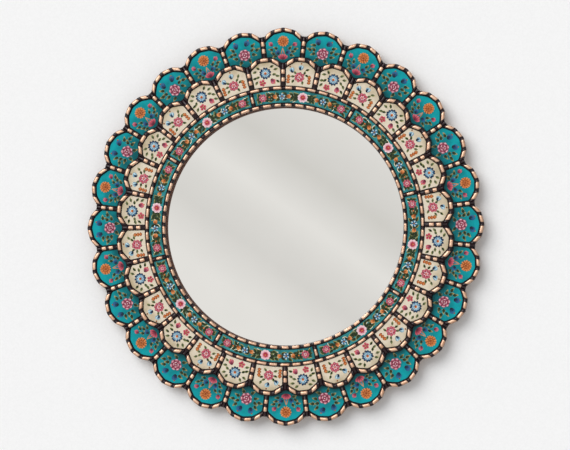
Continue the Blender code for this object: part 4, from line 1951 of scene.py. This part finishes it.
@dataclass
class MirrorAndPanel:
    """The silvered glass, the hardboard behind it and all the screws.

    Cross sizes are those of the recess in a screw's head, whose length is that of an arm from end to end.
    The dome has the radius and height of each ring of a pan head, as shares of its greatest.
    """

    steps: int = 168
    ease: float = 0.5 * MM
    screw_sides: int = 28
    head_radius: float = 3.0 * MM
    shank_radius: float = 1.5 * MM
    tip_radius: float = 0.4 * MM
    tip_length: float = 2.5 * MM
    sink_height: float = 1.6 * MM
    pan_height: float = 0.9 * MM
    pan_dome: tuple[Point, ...] = ((0.7, 0.0), (0.86, 0.12), (0.97, 0.34), (1.0, 0.6), (0.98, 1.0))
    hole_room: float = 0.3 * MM
    hole_over: float = 0.5 * MM
    cross_length: float = 3.4 * MM
    cross_width: float = 0.75 * MM
    cross_depth: float = 0.9 * MM
    cross_ease: float = 0.2 * MM
    cross_turn: float = 0.4

    def build(self) -> None:
        """Makes the glass, the panel and every screw."""
        glass = self.disc("mirror_glass", "silvered_pane", SILVERED_GLASS)
        settle(glass, BODY, "silvered_glass", "mirror_glass")
        panel = self.disc("back_panel", "hardboard_panel", HARDBOARD)
        names = sorted(frame["nodes"])
        carve(panel, self.screw_holes([name for name in names if name.startswith("panel_screw")]))
        settle(panel, BODY, "hardboard", "back_panel")
        for name in names:
            if name.startswith(("panel_screw", "hanger_screw")):
                self.screw(name)

    def disc(self, node: str, name: str, finish: Finish) -> bpy.types.Object:
        """A round sheet with eased edges.

        Args:
            node: the solid that it stands for.
            name: the piece's name.
            finish: its finish.

        Returns:
            The new object.
        """
        low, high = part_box(node)
        back, front = depths(node)
        radius = (high.x - low.x) / 2
        inside = radius - self.ease
        rim = [(radius, back + self.ease), (radius, front - self.ease)]
        draft = Draft()
        draft.add_lathe([(inside, back), *rim, (inside, front)], self.steps, Vector((0.0, 0.0, 0.0)))
        return draft.piece(name, [finish])

    def screw_holes(self, screws: Sequence[str]) -> bpy.types.Object:
        """The shapes of the panel's countersunk holes, as one cutting tool.

        Args:
            screws: the solids of the screws that pass through them.

        Returns:
            The tool.
        """
        back, front = depths("back_panel")
        sunk = depths(screws[0])[0]
        wide, narrow = self.head_radius + self.hole_room, self.shank_radius + self.hole_room
        profile = [
            (wide, back - self.hole_over),
            (wide, sunk),
            (narrow, sunk + self.sink_height),
            (narrow, front + self.hole_over),
        ]
        holes = Draft()
        for screw in screws:
            holes.add_lathe(profile, self.screw_sides, axis_of(screw))
        return holes.piece("screw_holes", [HARDBOARD])

    def screw(self, node: str) -> None:
        """A screw with a cross recess: countersunk in the panel, pan-headed on the hanger's strap.

        Args:
            node: the solid that it stands for.
        """
        back, front = depths(node)
        at = axis_of(node)
        if node.startswith("panel"):
            head = [(self.head_radius, back), (self.shank_radius, back + self.sink_height)]
        else:
            wide, tall = self.head_radius, self.pan_height
            head = [(wide * share, back + tall * rise) for share, rise in self.pan_dome]
            head.append((self.shank_radius, back + tall))
        shank = [(self.shank_radius, front - self.tip_length), (self.tip_radius, front)]
        draft = Draft()
        draft.add_lathe(head + shank, self.screw_sides, at)
        half, side = self.cross_length / 2, self.cross_width / 2
        arm = [(-half, -side), (half, -side), (half, side), (-half, side)]
        cutter = Draft()
        for turn in (self.cross_turn, self.cross_turn + math.pi / 2):
            outline = [(x + at.x, z + at.z) for x, z in (turned(corner, turn) for corner in arm)]
            cutter.add_plate(outline, back - self.cross_depth, back + self.cross_depth, self.cross_ease)
        piece = draft.piece("cross_head_" + node, [ZINC_PLATE])
        carve(piece, cutter.piece("cross_cutter", [ZINC_PLATE]))
        settle(piece, BODY, "zinc_steel", node)


@dataclass
class Hanger:
    """The strap on the rear of the board and the ring that swings in its curl."""

    wire_radius: float = 0.9 * MM
    wire_room: float = 0.1 * MM
    wire_sides: int = 20
    strap_thickness: float = 0.6 * MM
    curl_end: float = math.radians(-140)
    curl_steps: int = 36
    ease: float = 0.12 * MM
    corner_radius: float = 2.2 * MM
    corner_steps: int = 6
    top_steps: int = 32

    def build(self) -> None:
        """Makes the strap and the ring round the joint's own axis."""
        joint = next(j for j in frame["joints"] if j["name"] == "ring_swing")
        hinge = Vector(joint["pos_m"])
        self.build_strap(hinge)
        self.build_ring(hinge)

    def build_strap(self, hinge: Vector) -> None:
        """The strap: its side view drawn to its width, with eased edges.

        Args:
            hinge: middle of the curl.
        """
        low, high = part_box("hanger_strap")
        inner = self.wire_radius + self.wire_room
        outer = inner + self.strap_thickness
        length = hinge.z - low.z
        sweep = self.curl_end - math.pi
        turns = [math.pi + sweep * i / self.curl_steps for i in range(self.curl_steps + 1)]
        curl = [(math.cos(turn), math.sin(turn)) for turn in turns]
        profile = [(outer * y, outer * z) for y, z in curl]
        profile += [(inner * y, inner * z) for y, z in reversed(curl)]
        profile += [(-inner, -length), (-outer, -length)]
        draft = Draft()
        draft.add_tube([[hinge + Vector((side, y, z)) for y, z in profile] for side in (low.x, high.x)])
        piece = draft.piece("curled_strap", [ZINC_PLATE])
        eased = piece.modifiers.new("eased_edges", "BEVEL")
        eased.width = self.ease
        eased.segments = 2
        eased.angle_limit = math.radians(60)
        settle(piece, BODY, "zinc_steel", "hanger_strap")

    def ring_path(self, width: float, height: float) -> list[Point]:
        """Centre line of the wire: a bar in the curl, two sides and a round top.

        Args:
            width: width of the whole ring.
            height: its height.

        Returns:
            Its points, round from the right end of the bar.
        """
        half = width / 2 - self.wire_radius
        top = height - 2 * self.wire_radius - half
        lower = (half - self.corner_radius, self.corner_radius)
        turns = [math.pi - math.pi / 2 * i / self.corner_steps for i in range(self.corner_steps + 1)]
        right = [step_to(lower, turn, self.corner_radius) for turn in turns]
        turns = [math.pi / 2 - math.pi * i / self.top_steps for i in range(self.top_steps + 1)]
        return right + [step_to((0.0, top), turn, half) for turn in turns] + mirrored(right)

    def build_ring(self, hinge: Vector) -> None:
        """The ring: a round wire swept along its closed centre line.

        Args:
            hinge: middle of the bar that lies in the curl.
        """
        low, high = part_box("hanger_ring")
        path = [Vector(point) for point in self.ring_path(high.x - low.x, high.z - low.z)]
        turns = [FULL_TURN * i / self.wire_sides for i in range(self.wire_sides)]
        rings = []
        for i, spot in enumerate(path):
            along = (path[(i + 1) % len(path)] - path[i - 1]).normalized()
            outward = Vector((along.y, -along.x))
            flat = [spot + outward * self.wire_radius * math.cos(turn) for turn in turns]
            deep = [self.wire_radius * math.sin(turn) for turn in turns]
            rings.append([hinge + Vector((point.x, y, point.y)) for point, y in zip(flat, deep)])
        draft = Draft()
        draft.add_tube(rings, True)
        settle(draft.piece("swinging_ring", [ZINC_PLATE]), RING_BODY, "zinc_steel", "hanger_ring")


# Soft bands of light that the mirror shows, across it along the slant.
BANDS = [
    (0.0, "#DFDEDA"), (0.15, "#E0DFDB"), (0.25, "#D9D8D4"), (0.345, "#D1D0CC"), (0.45, "#D6D5D1"),
    (0.565, "#E0DFDB"), (0.65, "#D6D5D1"), (0.745, "#CCCBC6"), (0.825, "#D2D1CD"), (1.0, "#DBDAD6"),
]
SLANT_X, SLANT_Z = 0.6, 0.8
ROOM_WHITE = "#F6F6F6"


@dataclass
class Studio:
    """The camera, the lamps, the pale wall and the floor.

    The distance runs from the camera to the plane of the beads, where the picture has its width. The middle
    of the picture lies beside and above the mirror's centre. The view stands to the right of straight in
    front and below it, rolled clockwise. Fill is the strength of the room's own light. The wall reaches as
    far to each side and up as the floor does forward.
    """

    sizes: Sizes
    distance: float = 4.0
    frame_width: float = 0.8573
    picture_side: float = 0.8 * MM
    picture_rise: float = 1.8 * MM
    view_side: float = math.radians(5.5)
    view_drop: float = math.radians(2.2)
    roll: float = math.radians(0.4)
    bead_plane: float = 15.0 * MM
    wall_gap: float = 6.5 * MM
    fill: float = 0.58
    wall_half: float = 3.0
    floor: float = -1.4

    def build(self) -> None:
        """Sets up everything round the object."""
        bpy.context.scene.view_settings.view_transform = "Standard"
        self.build_camera()
        self.build_lamps()
        self.build_world()
        self.build_stage()

    def build_camera(self) -> None:
        """A long lens in front of the mirror, a touch to its right and below."""
        data = bpy.data.cameras.new("camera")
        data.sensor_width = 36.0
        data.lens = data.sensor_width * self.distance / self.frame_width
        made = bpy.data.objects.new("camera", data)
        out = Vector((math.tan(self.view_side), -1.0, -math.tan(self.view_drop))).normalized()
        aim = Vector((self.picture_side, -self.bead_plane, self.picture_rise))
        made.location = aim + out * self.distance
        level = (-out).to_track_quat("-Z", "Y").to_matrix()
        made.rotation_euler = (level @ Matrix.Rotation(-self.roll, 3, "Z")).to_euler()
        bpy.context.scene.collection.objects.link(made)
        bpy.context.scene.camera = made

    def build_lamps(self) -> None:
        """Soft daylight from the upper left, a small lamp for the glints, and one behind for the rear."""
        for name, kind, place, size, energy in (
            ("daylight", "SUN", (-1.2, -2.0, 1.35), math.radians(47), 1.93),
            ("glint_lamp", "AREA", (-1.3, -2.0, 1.3), 0.2, 0.8),
            ("rear_lamp", "AREA", (0.9, 2.2, 1.3), 1.6, 16.0),
        ):
            data = bpy.data.lights.new(name, kind)
            data.energy = energy
            setattr(data, "angle" if kind == "SUN" else "size", size)
            made = bpy.data.objects.new(name, data)
            made.location = place
            made.rotation_euler = (-Vector(place)).to_track_quat("-Z", "Y").to_euler()
            bpy.context.scene.collection.objects.link(made)

    def build_world(self) -> None:
        """An even pale room; reflections show it darker at the sides, with slanting bands in front."""
        world = bpy.data.worlds.new("pale_room")
        world.use_nodes = True
        tree = world.node_tree
        tree.nodes.clear()
        bpy.context.scene.world = world
        way = add_node(tree, "TexCoord").outputs["Generated"]
        across = {"operation": "DOT_PRODUCT", 1: (SLANT_X, 0.0, SLANT_Z)}
        slant = add_node(tree, "VectorMath", across, {0: way})
        reach = self.sizes.opening / self.distance
        lean = SLANT_X * math.tan(self.view_side) - SLANT_Z * math.tan(self.view_drop)
        span = {"From Min": -reach - lean, "From Max": reach - lean}
        share = add_node(tree, "MapRange", span, {"Value": slant.outputs["Value"]})
        seen = add_node(tree, "ValToRGB", {"stops": BANDS}, {"Fac": share.outputs["Result"]})
        forward = {"operation": "DOT_PRODUCT", 1: (0.0, -1.0, 0.0)}
        facing = add_node(tree, "VectorMath", forward, {0: way})
        ahead = add_node(tree, "Math", {"operation": "ABSOLUTE"}, {0: facing.outputs["Value"]})
        fade = {"From Min": 0.1, "From Max": 0.7, "To Min": 0.3, "To Max": 1.06}
        bright = add_node(tree, "MapRange", fade, {"Value": ahead.outputs["Value"]})
        shown = {"Color": seen.outputs["Color"], "Strength": bright.outputs["Result"]}
        rays = add_node(tree, "LightPath")
        sharp_rays = {0: rays.outputs["Is Glossy Ray"], 1: rays.outputs["Is Transmission Ray"]}
        sharp = add_node(tree, "Math", {"operation": "MAXIMUM"}, sharp_rays)
        pale = linear(ROOM_WHITE)
        lit = add_node(tree, "Background", {"Color": pale, "Strength": self.fill})
        mirrors = add_node(tree, "Background", links=shown)
        plain = add_node(tree, "Background", {"Color": pale, "Strength": 1.0})
        inner_links = {0: sharp.outputs[0], 1: lit.outputs[0], 2: mirrors.outputs[0]}
        inner = add_node(tree, "MixShader", links=inner_links)
        outer_links = {0: rays.outputs["Is Camera Ray"], 1: inner.outputs[0], 2: plain.outputs[0]}
        outer = add_node(tree, "MixShader", links=outer_links)
        add_node(tree, "OutputWorld", links={"Surface": outer.outputs[0]})

    def wall_paint(self) -> bpy.types.Material:
        """White wall paint with a faint roller stipple, which only the camera sees, from the room's side.

        Returns:
            The material.
        """
        made, tree = blank_material("wall_emulsion_rolled")
        place = add_node(tree, "TexCoord").outputs["Object"]
        noise = add_node(tree, "TexNoise", {"Scale": 1 / (2.5 * MM), "Detail": 2.0}, {"Vector": place})
        stipple = [(NOISE_LOW, "#F3F3F3"), (NOISE_HIGH, "#F7F7F7")]
        tint = add_node(tree, "ValToRGB", {"stops": stipple}, {"Fac": noise.outputs["Fac"]})
        matt = {"Roughness": 0.9, "Specular IOR Level": 0.2}
        paint = add_node(tree, "BsdfPrincipled", matt, {"Base Color": tint.outputs["Color"]})
        clear = add_node(tree, "BsdfTransparent")
        behind = add_node(tree, "NewGeometry").outputs["Backfacing"]
        looking = add_node(tree, "LightPath").outputs["Is Camera Ray"]
        in_front = {"operation": "SUBTRACT", "use_clamp": True}
        shown = add_node(tree, "Math", in_front, {0: looking, 1: behind})
        links = {0: shown.outputs[0], 1: clear.outputs[0], 2: paint.outputs[0]}
        mixed = add_node(tree, "MixShader", links=links)
        add_node(tree, "OutputMaterial", links={"Surface": mixed.outputs[0]})
        return made

    def build_stage(self) -> None:
        """The wall that the mirror hangs on, and the floor far below."""
        paint = self.wall_paint()
        half, floor, behind = self.wall_half, self.floor, self.wall_gap
        foot = [(-half, behind, floor), (half, behind, floor)]
        sheets = {
            "wall": [*foot, (half, behind, half), (-half, behind, half)],
            "floor": [(-half, -half, floor), (half, -half, floor), *reversed(foot)],
        }
        for name, corners in sheets.items():
            mesh = bpy.data.meshes.new(name)
            mesh.from_pydata(corners, [], [(0, 1, 2, 3)])
            mesh.materials.append(paint)
            made = bpy.data.objects.new(name, mesh)
            bpy.context.scene.collection.objects.link(made)


def main() -> None:
    """Builds every sub-assembly in order."""
    logging.basicConfig(level=logging.INFO, format="%(name)s: %(message)s")
    sizes = Sizes()
    Boards(sizes).build()
    GlassTiles(sizes).build()
    BeadWork(sizes).build()
    MirrorAndPanel().build()
    Hanger().build()
    Studio(sizes).build()


if __name__ == "__main__":
    main()
